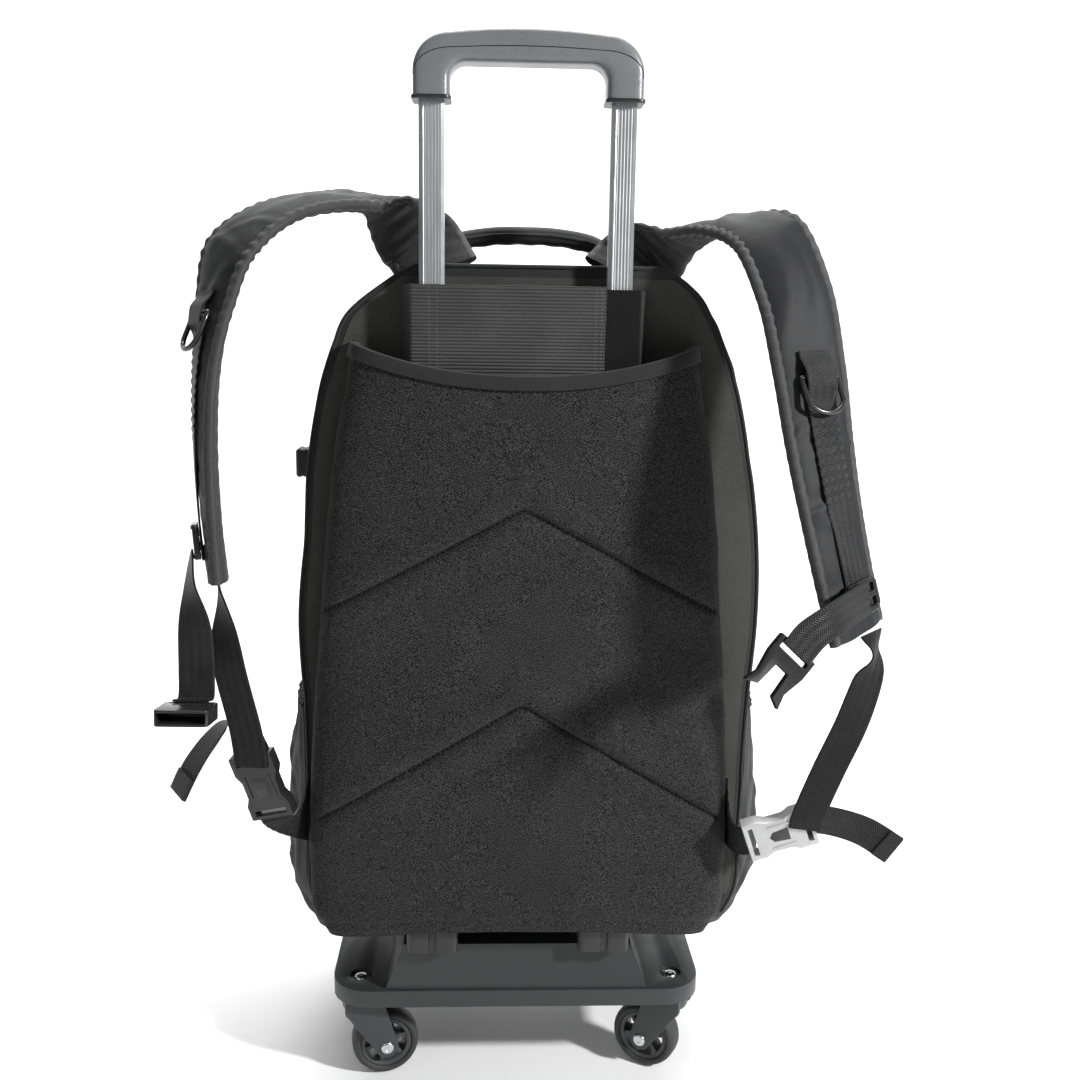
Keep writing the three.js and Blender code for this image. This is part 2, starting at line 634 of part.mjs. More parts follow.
// Back panel: its half width at each height, and how its face bulges from edge to edge
const PANEL_WIDTHS = [
  [0, 0.93],
  [0.04, 0.985],
  [0.12, 1],
  [0.25, 0.995],
  [0.4, 0.97],
  [0.57, 0.93],
  [0.7, 0.9],
  [0.82, 0.86],
  [0.92, 0.81],
  [1, 0.775],
];
const PANEL_FACE = [
  [1, 0], [1, 0.35], [0.97, 0.63], [0.85, 0.86], [0.5, 0.965], [0.22, 0.995], [0, 1],
];
const panelColumns = [
  ...PANEL_FACE.map(([x, y]) => [-x, y]),
  ...PANEL_FACE.slice(0, -1).reverse(),
];

function panelPoint([x, y], [height, width]) {
  const half = PANEL_HALF_WIDTH * width;
  const curl = Math.abs(x) ** 2.2;
  const low = BAG_BOTTOM + PANEL_CLEAR - PANEL_HEM_SAG * curl;
  const high = BAG_BOTTOM + PANEL_CLEAR + PANEL_HEIGHT + PANEL_CORNER_RISE * curl;
  return point(x * half, BACK_SEAT - PANEL_RISE * y, mix(low, high, height));
}
const panelGrid = PANEL_WIDTHS.map((row) => panelColumns.map((column) => panelPoint(column, row)));
add('back_panel', sheet(panelGrid, PANEL_FOAM), meshCloth);

// Binding folded over the panel's top edge
function panelBinding() {
  const top = panelGrid[panelGrid.length - 1];
  const inwards = top.map((place, j) => {
    const before = top[Math.max(j - 1, 0)];
    const after = top[Math.min(j + 1, top.length - 1)];
    return point(before.y - after.y, after.x - before.x, 0).normalize();
  });
  const below = panelGrid[panelGrid.length - 2];
  const edge = (depth, lift) => top.map((place, j) => {
    const slope = place.clone().sub(below[j]);
    const shifted = place.clone().addScaledVector(slope, Math.min(lift, 0) / slope.z);
    return shifted.addScaledVector(inwards[j], depth).add(point(0, 0, Math.max(lift, 0)));
  });
  const [front, back] = [-SEAT, PANEL_FOAM + SEAT];
  return sheet([edge(back, -BINDING_HEIGHT), edge(back, SEAT), edge(front, SEAT), edge(front, -BINDING_HEIGHT)],
    BINDING);
}
add('panel_binding', panelBinding(), binding);

// Elastic band round the tubes, closed by a hook and loop tab over the right one
function bandOutline(side, seam) {
  const corner = TUBE_X + OUTER_TUBE_WIDTH / 2;
  const thick = BAND_THICKNESS;
  return outline([
    [side * seam, BAND_OUTER], [side * (corner + 1), BAND_OUTER], [side * (corner + 3), BAND_OUTER + 2],
    [side * BAND_ROOT, BACK_SEAT], [side * (BAND_ROOT - thick * 1.2), BACK_SEAT],
    [side * (corner + 1.6), BAND_INNER + 2], [side * (corner + 0.4), BAND_INNER], [side * seam, BAND_INNER],
  ]);
}
add('tube_band', raised(bandOutline(-1, -BAND_SEAM), BAND_TOP - BAND_HEIGHT, BAND_TOP), webbing);
add('hook_loop_tab', raised(bandOutline(1, BAND_SEAM + SEAT), BAND_TOP - BAND_HEIGHT, BAND_TOP - TAB_DROP),
  binding);

// Side pockets: how far out and how high each hoop stands, from the rim down and under the bag.
// Outwards is a share of the bulge, inwards of the undercut; up of the height, down of the droop.
const POCKET_HOOPS = [
  [0.35, 1], [0.8, 0.7], [1, 0.42], [0.95, 0.1], [0.6, -0.35], [-0.1, -0.8],
  [-0.5, -1], [-0.9, -0.9], [-1, -0.5], [-1, 0],
];
const POCKET_COLUMNS = [-1, -0.85, -0.45, 0, 0.45, 0.85, 1];

function sidePocket(side) {
  const grid = POCKET_HOOPS.map(([out, up]) => POCKET_COLUMNS.map((s) => {
    const fullness = 1 - Math.abs(s) ** 3;
    const rise = up > 0 ? up * POCKET_HEIGHT : up * POCKET_DROOP * fullness;
    const z = BAG_BOTTOM + rise - (up > 0 ? 0 : SEAT);
    const stand = out > 0 ? out * POCKET_BULGE * fullness : out * POCKET_UNDERCUT;
    const x = bagSide(side, Math.max(z, BAG_BOTTOM)) + SEAT * 2 + stand;
    const y = BACK_FACE + POCKET_START + POCKET_LENGTH * (s + 1) / 2;
    return point(side * x, y, z);
  }));
  return clearOfBag(sheet(grid, side * POCKET_CLOTH));
}
add('side_pocket_left', sidePocket(-1), nylon);
add('side_pocket_right', sidePocket(1), nylon);

// Charging port: a patch on the left side with a moulded block on it
function chargingPort() {
  const y = BACK_FACE + PORT_PLANE;
  const low = BAG_BOTTOM + PORT_LOW;
  const grid = [0, 0.25, 0.5, 0.75, 1].map((share) => {
    const z = low + share * PORT_HEIGHT;
    const x = -bagSide(-1, z) - 2 * SEAT;
    return [point(x, y - PORT_WIDTH / 2, z), point(x, y + PORT_WIDTH / 2, z)];
  });
  const z = low + PORT_BLOCK_RISE;
  const x = -bagSide(-1, z + PORT_BLOCK) - 2 * SEAT - PORT_THICKNESS / 2;
  const block = box(x - PORT_BLOCK_REACH, x, y - PORT_BLOCK / 2, y + PORT_BLOCK / 2, z, z + PORT_BLOCK);
  return clearOfBag(join(sheet(grid, PORT_THICKNESS), block));
}
add('charging_port', chargingPort(), hardPlastic);

// Haul handle: a padded arch sewn to the bag's top. Rows: across, up.
const HAUL_ARCH = [[-1, -0.3], [-0.99, 0.3], [-0.8, 0.75], [-0.4, 0.96], [0, 1], [0.4, 0.96], [0.8, 0.75],
  [0.99, 0.3], [1, -0.3]];
const ROUND_SECTION = [
  [-0.5, -0.5], [-0.45, -0.14], [-0.36, 0], [0.36, 0], [0.45, -0.14],
  [0.5, -0.5], [0.45, -0.86], [0.36, -1], [-0.36, -1], [-0.45, -0.86],
];

function haulHandle() {
  const half = HAUL_SPAN / 2;
  const steps = 16;
  const at = (share) => along(HAUL_ARCH, share);
  const rings = Array.from({ length: steps + 1 }, (_, k) => {
    const share = k / steps;
    const [x, z] = at(share);
    const [before, after] = [at(share - 0.01), at(share + 0.01)];
    const run = point((after[0] - before[0]) * half, 0, (after[1] - before[1]) * HAUL_RISE).normalize();
    const out = point(-run.z, 0, run.x);
    const centre = point(x * half, BACK_FACE + HAUL_PLANE, BAG_TOP + z * HAUL_RISE);
    return ROUND_SECTION.map(([a, h]) => centre.clone().addScaledVector(out, (h + 0.5) * HAUL_THICKNESS)
      .add(point(0, a * HAUL_WIDTH, 0)));
  });
  return clearOfBag(skin(rings));
}
add('haul_handle', haulHandle(), nylon);

// Routes of the straps and webbing. Each row is a place on the outer face: sideways as a share of
// the reach, towards the wearer as a share of the forward throw, up from the bag's top as a share
// of the drop, then the turn and the tilt of the width, in degrees. A tail's places start at its
// buckle's bar.
const ROUTES = {
  shoulder_right: [
    [0.285, -0.37, -0.05, 1, -4],
    [0.375, -0.52, 0.033, 5, 6],
    [0.477, -0.45, 0.11, 14, 11],
    [0.613, -0.15, 0.155, 20, 13],
    [0.715, 0.23, 0.118, 23, 20],
    [0.787, 0.535, -0.06, 24, 18],
    [0.826, 0.733, -0.265, 25.5, 11],
    [0.857, 0.872, -0.465, 29, 4],
    [0.898, 0.942, -0.657, 33, -3],
    [0.945, 0.988, -0.845, 35, -8],
    [0.991, 1, -1, 36, -12],
  ],
  shoulder_left: [
    [0.26, -0.37, -0.04, 2, -5],
    [0.34, -0.55, 0.082, 14, 11],
    [0.451, -0.49, 0.2, 32, 14],
    [0.6, -0.2, 0.204, 46, 8],
    [0.757, 0.105, 0.155, 50, 8],
    [0.874, 0.36, 0.045, 50, 11],
    [0.923, 0.477, -0.122, 59, 9],
    [0.943, 0.593, -0.31, 70, 3],
    [0.945, 0.686, -0.506, 74, 1],
    [0.936, 0.733, -0.702, 76, 0],
    [0.919, 0.767, -0.88, 79, -1],
  ],
  lower_right: [
    [1.026, 0.84, -1.0135, 40, 12],
    [1.04, 0.86, -1.07, 65, 0],
    [1.03, 0.82, -1.15, 20, -15],
    [1.0, 0.72, -1.3, 5, -22],
    [0.95, 0.61, -1.46, 3, -26],
    [0.91, 0.52, -1.6, 3, -24],
    [0.9, 0.48, -1.665, 3, -20],
  ],
  lower_left: [
    [0.887, 0.75, -0.884, 79, 0],
    [0.878, 0.74, -0.96, 60, 3],
    [0.875, 0.74, -1.05, 30, 8],
    [0.868, 0.7, -1.15, 12, 12],
    [0.838, 0.57, -1.34, 8, 15],
    [0.828, 0.51, -1.46, 8, 18],
  ],
  sternum_right: [
    [0.983, 1.085, -0.89, 36, -66],
    [0.87, 1.315, -0.927, 28, -62],
    [0.8, 1.34, -0.975, 8, -45],
    [0.755, 1.385, -1.022, 6, -42],
  ],
  sternum_left: [
    [0.956, 0.79, -0.79, 77, 0],
    [0.962, 0.84, -0.89, 60, 0],
    [0.949, 0.9, -1.01, 15, 0],
    [0.949, 0.9, -1.12, 5, 0],
    [0.951, 0.92, -1.2, 3, 0],
    [0.953, 1.085, -1.195, 2, 0],
  ],
  tail_right: [
    [0, 0, 0, -90, 78],
    [0.09, -0.01, -0.005, -90, 79],
    [0.2, 0.03, -0.033, -90, 82],
    [0.3, 0.07, -0.09, -90, 84],
  ],
  tail_left: [
    [0, 0, 0, 16, -27],
    [0.04, -0.01, 0.075, 21, -26],
    [0.09, -0.01, 0.105, 58, -12],
    [0.14, 0.05, 0.06, 64, 8],
    [0.19, 0.11, -0.01, 54, 5],
    [0.23, 0.15, -0.09, 52, 0],
  ],
};

function frameOn(route, share, side) {
  const rows = ROUTES[route];
  const spot = ([x, y, z]) => point(side * x * STRAP_REACH, -y * STRAP_FORWARD, BAG_TOP + z * STRAP_DROP);
  const row = along(rows, share);
  const run = spot(along(rows, share + 0.01)).sub(spot(along(rows, share - 0.01))).normalize();
  const [turn, tilt] = [degrees(row[3]), degrees(row[4])];
  const across = point(side * Math.cos(tilt) * Math.cos(turn), Math.cos(tilt) * Math.sin(turn), Math.sin(tilt));
  across.addScaledVector(run, -across.dot(run)).normalize();
  const out = run.clone().cross(across).multiplyScalar(side);
  return { place: spot(row), run, across, out };
}

const FLAT_SECTION = [[-0.5, 0], [0.5, 0], [0.5, 1], [-0.5, 1]];

const evenShares = (from, to, steps) => Array.from({ length: steps + 1 }, (_, k) => mix(from, to, k / steps));
const framesOn = (route, side, shares) => shares.map((share) => ({ share, ...frameOn(route, share, side) }));

// A strip of the given section through frames; lift tells how far it stands off the route's face
function strip(frames, width, thickness, section = FLAT_SECTION, lift = () => 0) {
  return skin(frames.map(({ place, across, out, share }) =>
    section.map(([a, h]) => place.clone().addScaledVector(across, a * width)
      .addScaledVector(out, lift(share) + h * thickness))), true);
}

// Turns a piece drawn flat, its length along Y and its face towards Z, into place
function laid(mesh, place, lengthways, facing) {
  const y = lengthways.clone().normalize();
  const z = facing.clone().addScaledVector(y, -facing.dot(y)).normalize();
  const x = y.clone().cross(z);
  mesh.applyMatrix4(new THREE.Matrix4().makeBasis(x, y, z).setPosition(place));
}

// D-ring: round wire bent to a bar and a bow, its bar on the hinge line
function dRing() {
  const bar = WEBBING_WIDTH / 2 + RING_WIRE / 2 + RUNNING;
  const bow = Array.from({ length: 9 }, (_, k) => {
    const angle = Math.PI * (1 + k / 8);
    return [bar * Math.cos(angle), -RING_DEPTH + bar * Math.sin(angle) * 0.75];
  });
  const path = [[bar, 0], [0, 0], [-bar, 0], ...bow];
  const sides = 6;
  const rings = path.map(([x, y], i) => {
    const [px, py] = path[(i + path.length - 1) % path.length];
    const [nx, ny] = path[(i + 1) % path.length];
    const out = new THREE.Vector2(ny - py, px - nx).normalize();
    return Array.from({ length: sides }, (_, k) => {
      const angle = 2 * Math.PI * k / sides;
      const off = Math.cos(angle) * RING_WIRE / 2;
      return point(x + out.x * off, y + out.y * off, Math.sin(angle) * RING_WIRE / 2);
    });
  });
  const faces = [];
  rings.forEach((_, i) => {
    const [here, there] = [i * sides, ((i + 1) % rings.length) * sides];
    for (let k = 0; k < sides; k++) {
      const next = (k + 1) % sides;
      faces.push(here + k, here + next, there + next, here + k, there + next, there + k);
    }
  });
  const geometry = new THREE.BufferGeometry().setFromPoints(rings.flat());
  geometry.setIndex(faces);
  return geometry;
}

const slotOutline = (half, low, height) =>
  outline([[-half, low], [half, low], [half, low + height], [-half, low + height]]);

function ladderLock() {
  const [w, h] = [LOCK_WIDTH / 2, LOCK_HEIGHT / 2];
  const slot = (LOCK_HEIGHT - 3 * LOCK_BAR) / 2;
  const slots = [-h + LOCK_BAR, h - LOCK_BAR - slot].map((low) =>
    box(-w + LOCK_BAR, w - LOCK_BAR, low, low + slot, -1, LOCK_THICKNESS + 1));
  return cut(raised(chamfered(LOCK_WIDTH, LOCK_HEIGHT, LOCK_BAR), 0, LOCK_THICKNESS), ...slots);
}

function sideReleaseBuckle() {
  const [w, half] = [BUCKLE_WIDTH / 2, BUCKLE_LENGTH / 2];
  const body = outline([[-w, -half], [w, -half], [w, -half * 0.45], [w * 0.8, -half * 0.2],
    [w * 0.8, half * 0.3], [w, half * 0.55], [w, half], [-w, half], [-w, half * 0.55],
    [-w * 0.8, half * 0.3], [-w * 0.8, -half * 0.2], [-w, -half * 0.45]]);
  const slot = LOCK_BAR;
  for (const low of [-half + LOCK_BAR * 0.75, half - LOCK_BAR * 1.75]) {
    body.holes.push(slotOutline(w - slot, low, slot));
  }
  return raised(body, -BUCKLE_THICKNESS / 2, BUCKLE_THICKNESS / 2);
}

function sternumMale() {
  const [w, bar] = [STERNUM_WIDTH / 2, LOCK_BAR];
  const body = outline([[-w, 0], [w, 0], [w, 3.5 * bar], [w * 0.8, 3.5 * bar + PRONG_LENGTH * 0.6],
    [w, 3.5 * bar + PRONG_LENGTH], [w * 0.45, 3.5 * bar + PRONG_LENGTH * 0.85], [w * 0.35, 4.5 * bar],
    [-w * 0.35, 4.5 * bar], [-w * 0.45, 3.5 * bar + PRONG_LENGTH * 0.85], [-w, 3.5 * bar + PRONG_LENGTH],
    [-w * 0.8, 3.5 * bar + PRONG_LENGTH * 0.6], [-w, 3.5 * bar]]);
  body.holes.push(slotOutline(w - bar, bar, bar));
  return raised(body, -STERNUM_THICKNESS / 4, STERNUM_THICKNESS / 4);
}

function sternumFemale() {
  const [w, half, wall] = [STERNUM_WIDTH / 2 + STERNUM_WALL, STERNUM_THICKNESS / 2, STERNUM_WALL];
  const body = raised(roundedRectangle(-w, w, 0, STERNUM_LENGTH, 2 * wall), -half, half);
  const mouth = box(-w + wall, w - wall, 2 * LOCK_BAR, STERNUM_LENGTH + 1, -half + wall, half - wall);
  const slot = box(-w + LOCK_BAR, w - LOCK_BAR, LOCK_BAR * 0.6, LOCK_BAR * 1.4, -half - 1, half + 1);
  return cut(body, mouth, slot);
}

const RING_SHARE = 0.617;
const LOCK_SHARE = 0.935;
const SIDES = { right: 1, left: -1 };
const strapLength = STRAP_DROP + 0.85 * STRAP_REACH;
const ringLift = RING_WIRE / 2 + RUNNING;

for (const [name, side] of Object.entries(SIDES)) {
  const route = `shoulder_${name}`;
  add(`shoulder_strap_${name}`, clearOfBag(strip(framesOn(route, side, evenShares(0, 1, 26)), STRAP_WIDTH,
    STRAP_THICKNESS, ROUND_SECTION)), smoothNylon);

  // The webbing is sewn down the strap and arches over the ring's bar
  const archLift = (share) => {
    const away = Math.abs(share - RING_SHARE) * strapLength;
    return mix(2 * (ringLift + RUNNING / 2), 1.5 * SEAT, THREE.MathUtils.smoothstep(away, RING_WIRE, 4 * RING_WIRE));
  };
  const loop = [-15, -9, -6, -3.5, 0, 3.5, 6, 9, 15].map((mm) => RING_SHARE + mm / strapLength);
  const shares = [...loop, ...evenShares(0.68, 0.965, 7)];
  add(`strap_webbing_${name}`, strip(framesOn(route, side, shares), WEBBING_WIDTH, WEBBING,
    FLAT_SECTION, archLift), webbing);

  const bar = frameOn(route, RING_SHARE, side);
  const hang = bar.run.clone().negate().applyAxisAngle(bar.across, -side * degrees(RING_TILT));
  const ring = add(`d_ring_${name}`, dRing(), hardPlastic);
  laid(ring, bar.place.clone().addScaledVector(bar.out, ringLift), hang, bar.out);

  const lock = frameOn(route, LOCK_SHARE, side);
  const lockLift = WEBBING + 3 * SEAT;
  laid(add(`ladder_lock_${name}`, ladderLock(), hardPlastic),
    lock.place.clone().addScaledVector(lock.out, lockLift), lock.run.clone().negate(), lock.out);

  for (const kind of ['lower', 'sternum']) {
    const frames = framesOn(`${kind}_${name}`, side, evenShares(0, 1, 24));
    add(`${kind}_webbing_${name}`, strip(frames, WEBBING_WIDTH, WEBBING), webbing);
  }

  // The lower webbing ends over a bar of the fastened buckle, whose other end a tab ties to the bag
  const end = frameOn(`lower_${name}`, 1, side);
  const root = point(side * (PANEL_HALF_WIDTH + TAB_CLEAR), BACK_FACE + BACK_CORNER, BAG_BOTTOM + TAB_LOW);
  const heart = end.place.clone().addScaledVector(end.out, -BUCKLE_THICKNESS / 2 - SEAT);
  const lengthways = root.clone().add(point(0, 0, TAB_ROOT / 2)).sub(heart);
  lengthways.addScaledVector(end.out, -lengthways.dot(end.out)).normalize();
  const centre = heart.clone().addScaledVector(lengthways, BUCKLE_LENGTH / 2 - 2 * LOCK_BAR);
  laid(add(`side_release_buckle_${name}`, sideReleaseBuckle(), greyPlastic), centre, lengthways, end.out);

  // The webbing's free tail leaves from behind the same bar
  const tail = framesOn(`tail_${name}`, side, evenShares(0, 1, 18));
  const behind = BUCKLE_THICKNESS / 2 + 2 * SEAT + (tail[0].out.dot(end.out) > 0 ? WEBBING : 0);
  const shift = heart.clone().addScaledVector(end.out, -behind).sub(tail[0].place);
  tail.forEach(({ place }) => place.add(shift));
  add(`webbing_tail_${name}`, strip(tail, WEBBING_WIDTH, WEBBING), webbing);

  const tabEnd = centre.clone().addScaledVector(lengthways, BUCKLE_LENGTH / 2 + 3 * SEAT);
  const broad = lengthways.clone().cross(end.out).normalize();
  if (broad.z < 0) broad.negate();
  const tabGrid = evenShares(0, 1, 5).map((share) => evenShares(-0.5, 0.5, 2).map((across) => {
    const near = tabEnd.clone().addScaledVector(broad, across * WEBBING_WIDTH);
    const bend = near.clone().addScaledVector(lengthways, WEBBING_WIDTH / 2);
    const far = root.clone().add(point(0, 0, (across + 0.5) * TAB_ROOT));
    return near.lerp(bend, share).lerp(bend.lerp(far, share), share);
  }));
  add(`corner_tab_${name}`, clearOfBag(sheet(tabGrid, WEBBING)), webbing);

  // Sternum strap: a clip with two prongs on the right, its socket on the left
  const tip = frameOn(`sternum_${name}`, 1, side);
  const male = side > 0;
  const clipHalf = male ? STERNUM_THICKNESS / 4 : STERNUM_THICKNESS / 2;
  const clip = add(male ? 'sternum_buckle_male' : 'sternum_buckle_female',
    male ? sternumMale() : sternumFemale(), hardPlastic);
  const seat = tip.place.clone().addScaledVector(tip.out, -clipHalf - 2 * SEAT);
  laid(clip, seat.addScaledVector(tip.run, -LOCK_BAR), tip.run, tip.out);
}

// The origin lies on the ground under the middle of the whole backpack
const bounds = new THREE.Box3().setFromObject(backpack, true);
const middle = bounds.getCenter(point());
backpack.position.set(-middle.x, -middle.y, -bounds.min.z);

export default backpack;
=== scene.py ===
import bmesh
import bpy
import numpy as np
from mathutils import Matrix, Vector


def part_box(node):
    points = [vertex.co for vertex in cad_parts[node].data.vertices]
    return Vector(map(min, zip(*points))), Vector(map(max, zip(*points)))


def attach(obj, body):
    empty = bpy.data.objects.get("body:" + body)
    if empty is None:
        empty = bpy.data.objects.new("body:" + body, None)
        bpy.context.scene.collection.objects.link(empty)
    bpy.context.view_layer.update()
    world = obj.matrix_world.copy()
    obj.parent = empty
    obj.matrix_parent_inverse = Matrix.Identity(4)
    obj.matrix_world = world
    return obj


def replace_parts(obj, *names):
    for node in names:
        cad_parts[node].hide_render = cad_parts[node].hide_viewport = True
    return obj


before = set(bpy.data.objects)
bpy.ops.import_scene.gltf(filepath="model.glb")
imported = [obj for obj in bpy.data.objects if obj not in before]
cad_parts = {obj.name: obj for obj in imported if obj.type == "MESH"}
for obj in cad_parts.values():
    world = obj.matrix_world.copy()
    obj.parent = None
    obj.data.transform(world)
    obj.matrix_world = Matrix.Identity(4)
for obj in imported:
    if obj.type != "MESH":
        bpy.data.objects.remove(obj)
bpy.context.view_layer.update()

# The room. A pale studio floor sweeps up into the wall behind the backpack, under a large soft
# lamp from the front right, whose shadow the right strap throws on the back panel, and two weaker
# ones. Sizes are in millimetres from the midline between the handle's tubes, at floor level.
tube_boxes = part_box("outer_tube_left"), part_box("outer_tube_right")
MIDLINE = np.array([
    (tube_boxes[0][0].x + tube_boxes[1][1].x) / 2,
    (tube_boxes[0][0].y + tube_boxes[0][1].y) / 2,
    0,
])
EYE = (-25.53, -879.96, 612.72)
EYE_TURN, EYE_DIP, EYE_TIP = np.radians([2.4935, 10.4813, 0.8712])
EYE_LENS = 40.33


def unit(vectors):
    """Each vector over its own length."""
    return vectors / np.maximum(np.linalg.norm(vectors, axis=-1, keepdims=True), 1e-12)


class Value:
    """A number that varies over a surface; reckoning with it adds Math nodes."""

    def __init__(self, finish, link):
        self.finish, self.link = finish, link

    def math(self, operation, *values):
        """One Math node on the given values."""
        return self.finish.node("ShaderNodeMath", {"operation": operation}, values)[0]

    def __add__(self, other):
        return self.math("ADD", self, other)

    def __sub__(self, other):
        return self.math("SUBTRACT", self, other)

    def __rsub__(self, other):
        return self.math("SUBTRACT", other, self)

    def __mul__(self, other):
        return self.math("MULTIPLY", self, other)

    def __truediv__(self, other):
        return self.math("DIVIDE", self, other)

    def __pow__(self, other):
        return self.math("POWER", self, other)

    def __abs__(self):
        return self.math("ABSOLUTE", self)

    __radd__, __rmul__ = __add__, __mul__

    def wave(self, pitch, shift=0.0):
        """A sine of the given pitch, from -1 to 1."""
        turn = self * (2 * np.pi / pitch) + shift
        return turn.math("SINE", turn)

    def between(self, low, high):
        """Rises smoothly from 0 at low to 1 at high."""
        return self.finish.node("ShaderNodeMapRange", {"interpolation_type": "SMOOTHSTEP"},
                                (self, low, high, 0.0, 1.0))[0]


class Finish:
    """One material of the backpack, and the record's slot that it stands for."""

    def __init__(self, name, slot):
        self.slot = slot
        self.material = bpy.data.materials.new(name)
        self.material.use_nodes = True
        self.tree = self.material.node_tree
        self.shader = self.tree.nodes["Principled BSDF"]

    def node(self, kind, settings, values):
        """Adds a node: its settings first, then the values or links of its sockets."""
        node = self.tree.nodes.new(kind)
        for key, value in settings.items():
            setattr(node, key, value)
        pairs = values.items() if isinstance(values, dict) else enumerate(values)
        for key, value in pairs:
            self.plug(node.inputs[key], value)
        return [Value(self, output) for output in node.outputs]

    def plug(self, socket, value):
        """Links a varying value to a socket, or sets a constant on it."""
        if isinstance(value, Value):
            self.tree.links.new(value.link, socket)
        else:
            socket.default_value = (*value, 1) if isinstance(value, tuple) and len(value) == 3 and (
                socket.type == "RGBA") else value

    def place(self):
        """Object coordinates, in metres."""
        return self.node("ShaderNodeTexCoord", {}, ())[3]

    def cloth_place(self):
        """Across and along the piece's own cloth, in millimetres."""
        uv = self.node("ShaderNodeUVMap", {"uv_map": "cloth"}, ())[0]
        across, along, _ = self.node("ShaderNodeSeparateXYZ", {}, (uv,))
        return across * 1000, along * 1000

    def noise(self, size, detail=2.0, stretch=(1, 1, 1), place=None):
        """Soft blotches of about size millimetres, from 0 to 1, drawn out by stretch."""
        spot = self.node("ShaderNodeMapping", {}, {0: place or self.place(), 3: tuple(
            1 / s for s in stretch)})[0]
        return self.node("ShaderNodeTexNoise", {}, {0: spot, 2: 1000.0 / size, 3: detail})[0]

    def mix(self, share, first, second):
        """A colour between two, by a share from 0 to 1."""
        settings = {"data_type": "RGBA"}
        return self.node("ShaderNodeMix", settings, {0: share, 6: first, 7: second})[2]

    def dress(self, colour, roughness, height=None, **fixed):
        """Sets the colour, the roughness, and the relief's height in millimetres."""
        self.plug(self.shader.inputs["Base Color"], colour)
        self.plug(self.shader.inputs["Roughness"], roughness)
        if height is not None:
            bump = self.node("ShaderNodeBump", {}, {"Height": height, "Distance": 0.001})[0]
            self.plug(self.shader.inputs["Normal"], bump)
        for key, value in fixed.items():
            self.plug(self.shader.inputs[key.replace("_", " ")], value)
        return self


def patch(points, wrap=False, ring=False, ends=""):
    """A grid of points, rows by columns, as four-sided faces with its own lengths for a cloth map.

    wrap joins the last column to the first, and ring the last row to the first. ends closes both
    end rows: strip pairs each column with the one across from it, face is one flat face. A closed
    grid is turned so that its faces point outwards, by the sign of its volume.
    """
    rows, columns = points.shape[:2]
    i, j = np.mgrid[0:rows - (not ring), 0:columns - (not wrap)]
    below, beside = (i + 1) % rows, (j + 1) % columns
    faces = np.stack([i * columns + j, i * columns + beside, below * columns + beside,
                      below * columns + j], -1).reshape(-1, 4)
    step_u = np.linalg.norm(np.roll(points, -1, 1) - points, axis=-1).mean(0)
    step_v = np.linalg.norm(np.roll(points, -1, 0) - points, axis=-1).mean(1)
    u, v = np.concatenate([[0], np.cumsum(step_u)]), np.concatenate([[0], np.cumsum(step_v)])
    cloth = np.stack([np.stack([u[j], u[j + 1], u[j + 1], u[j]], -1),
                      np.stack([v[i], v[i], v[i + 1], v[i + 1]], -1)], -1).reshape(-1, 2)
    last = (rows - 1) * columns
    extra = []
    if ends == "strip":
        k = np.arange(columns // 2 - 1)
        pairs = np.stack([k, k + 1, columns - 2 - k, columns - 1 - k], -1)
        extra = pairs[:, ::-1].tolist() + (pairs + last).tolist()
    elif ends == "face":
        extra = [list(range(columns))[::-1], list(range(last, last + columns))]
    flat = [[u[n % columns], v[n // columns]] for face in extra for n in face]
    cloth = np.concatenate([cloth, np.array(flat).reshape(-1, 2)])
    spots = points.reshape(-1, 3)
    faces = faces.tolist() + extra
    if wrap and (ring or ends):
        fan = np.array([(f[0], f[k], f[k + 1]) for f in faces for k in range(1, len(f) - 1)])
        a, b, c = (spots[fan[:, k]] - spots[0] for k in range(3))
        if (a * np.cross(b, c)).sum() < 0:
            faces = [face[::-1] for face in faces]
            counts = np.array([len(face) for face in faces])
            starts = np.repeat(np.cumsum(counts) - counts, counts)
            cloth = cloth[2 * starts + np.repeat(counts, counts) - 1 - np.arange(len(cloth))]
    return spots, faces, cloth / 1000


def solid(rings):
    """Closed rings of points from end to end, with a flat face on both ends."""
    return patch(rings, True, ends="face")


def sheet_of(rows):
    """A thin sheet, its back beside its face in every row, closed along both end rows."""
    return patch(rows, True, ends="strip")


def hoop(rings):
    """Closed rings of points whose last ring meets the first."""
    return patch(rings, True, True)


def piece(name, patches, finish, body="pack", stands_for=(), crease=40, bevel=0):
    """One object of patches, given in millimetres from the midline, riding on a CAD body."""
    counts = np.cumsum([0] + [len(part[0]) for part in patches])
    faces = [[n + count for n in face] for part, count in zip(patches, counts) for face in part[1]]
    mesh = bpy.data.meshes.new(name)
    points = np.concatenate([part[0] for part in patches])
    mesh.from_pydata((points / 1000 + MIDLINE).tolist(), [], faces)
    cloth = np.concatenate([part[2] for part in patches])
    mesh.uv_layers.new(name="cloth").data.foreach_set("uv", cloth.ravel())
    mesh.polygons.foreach_set("use_smooth", np.ones(len(faces), bool))
    mesh.set_sharp_from_angle(angle=np.radians(crease))
    mesh.update()
    made = bpy.data.objects.new(name, mesh)
    bpy.context.scene.collection.objects.link(made)
    if bevel:
        rounding = made.modifiers.new("rounding", "BEVEL")
        rounding.width, rounding.segments, rounding.limit_method = bevel / 1000, 3, "ANGLE"
        rounding.angle_limit, rounding.harden_normals = np.radians(35), True
    made.data.materials.append(finish.material)
    if finish.slot:
        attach(made, body)
        if stands_for:
            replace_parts(made, *stands_for)
    return made


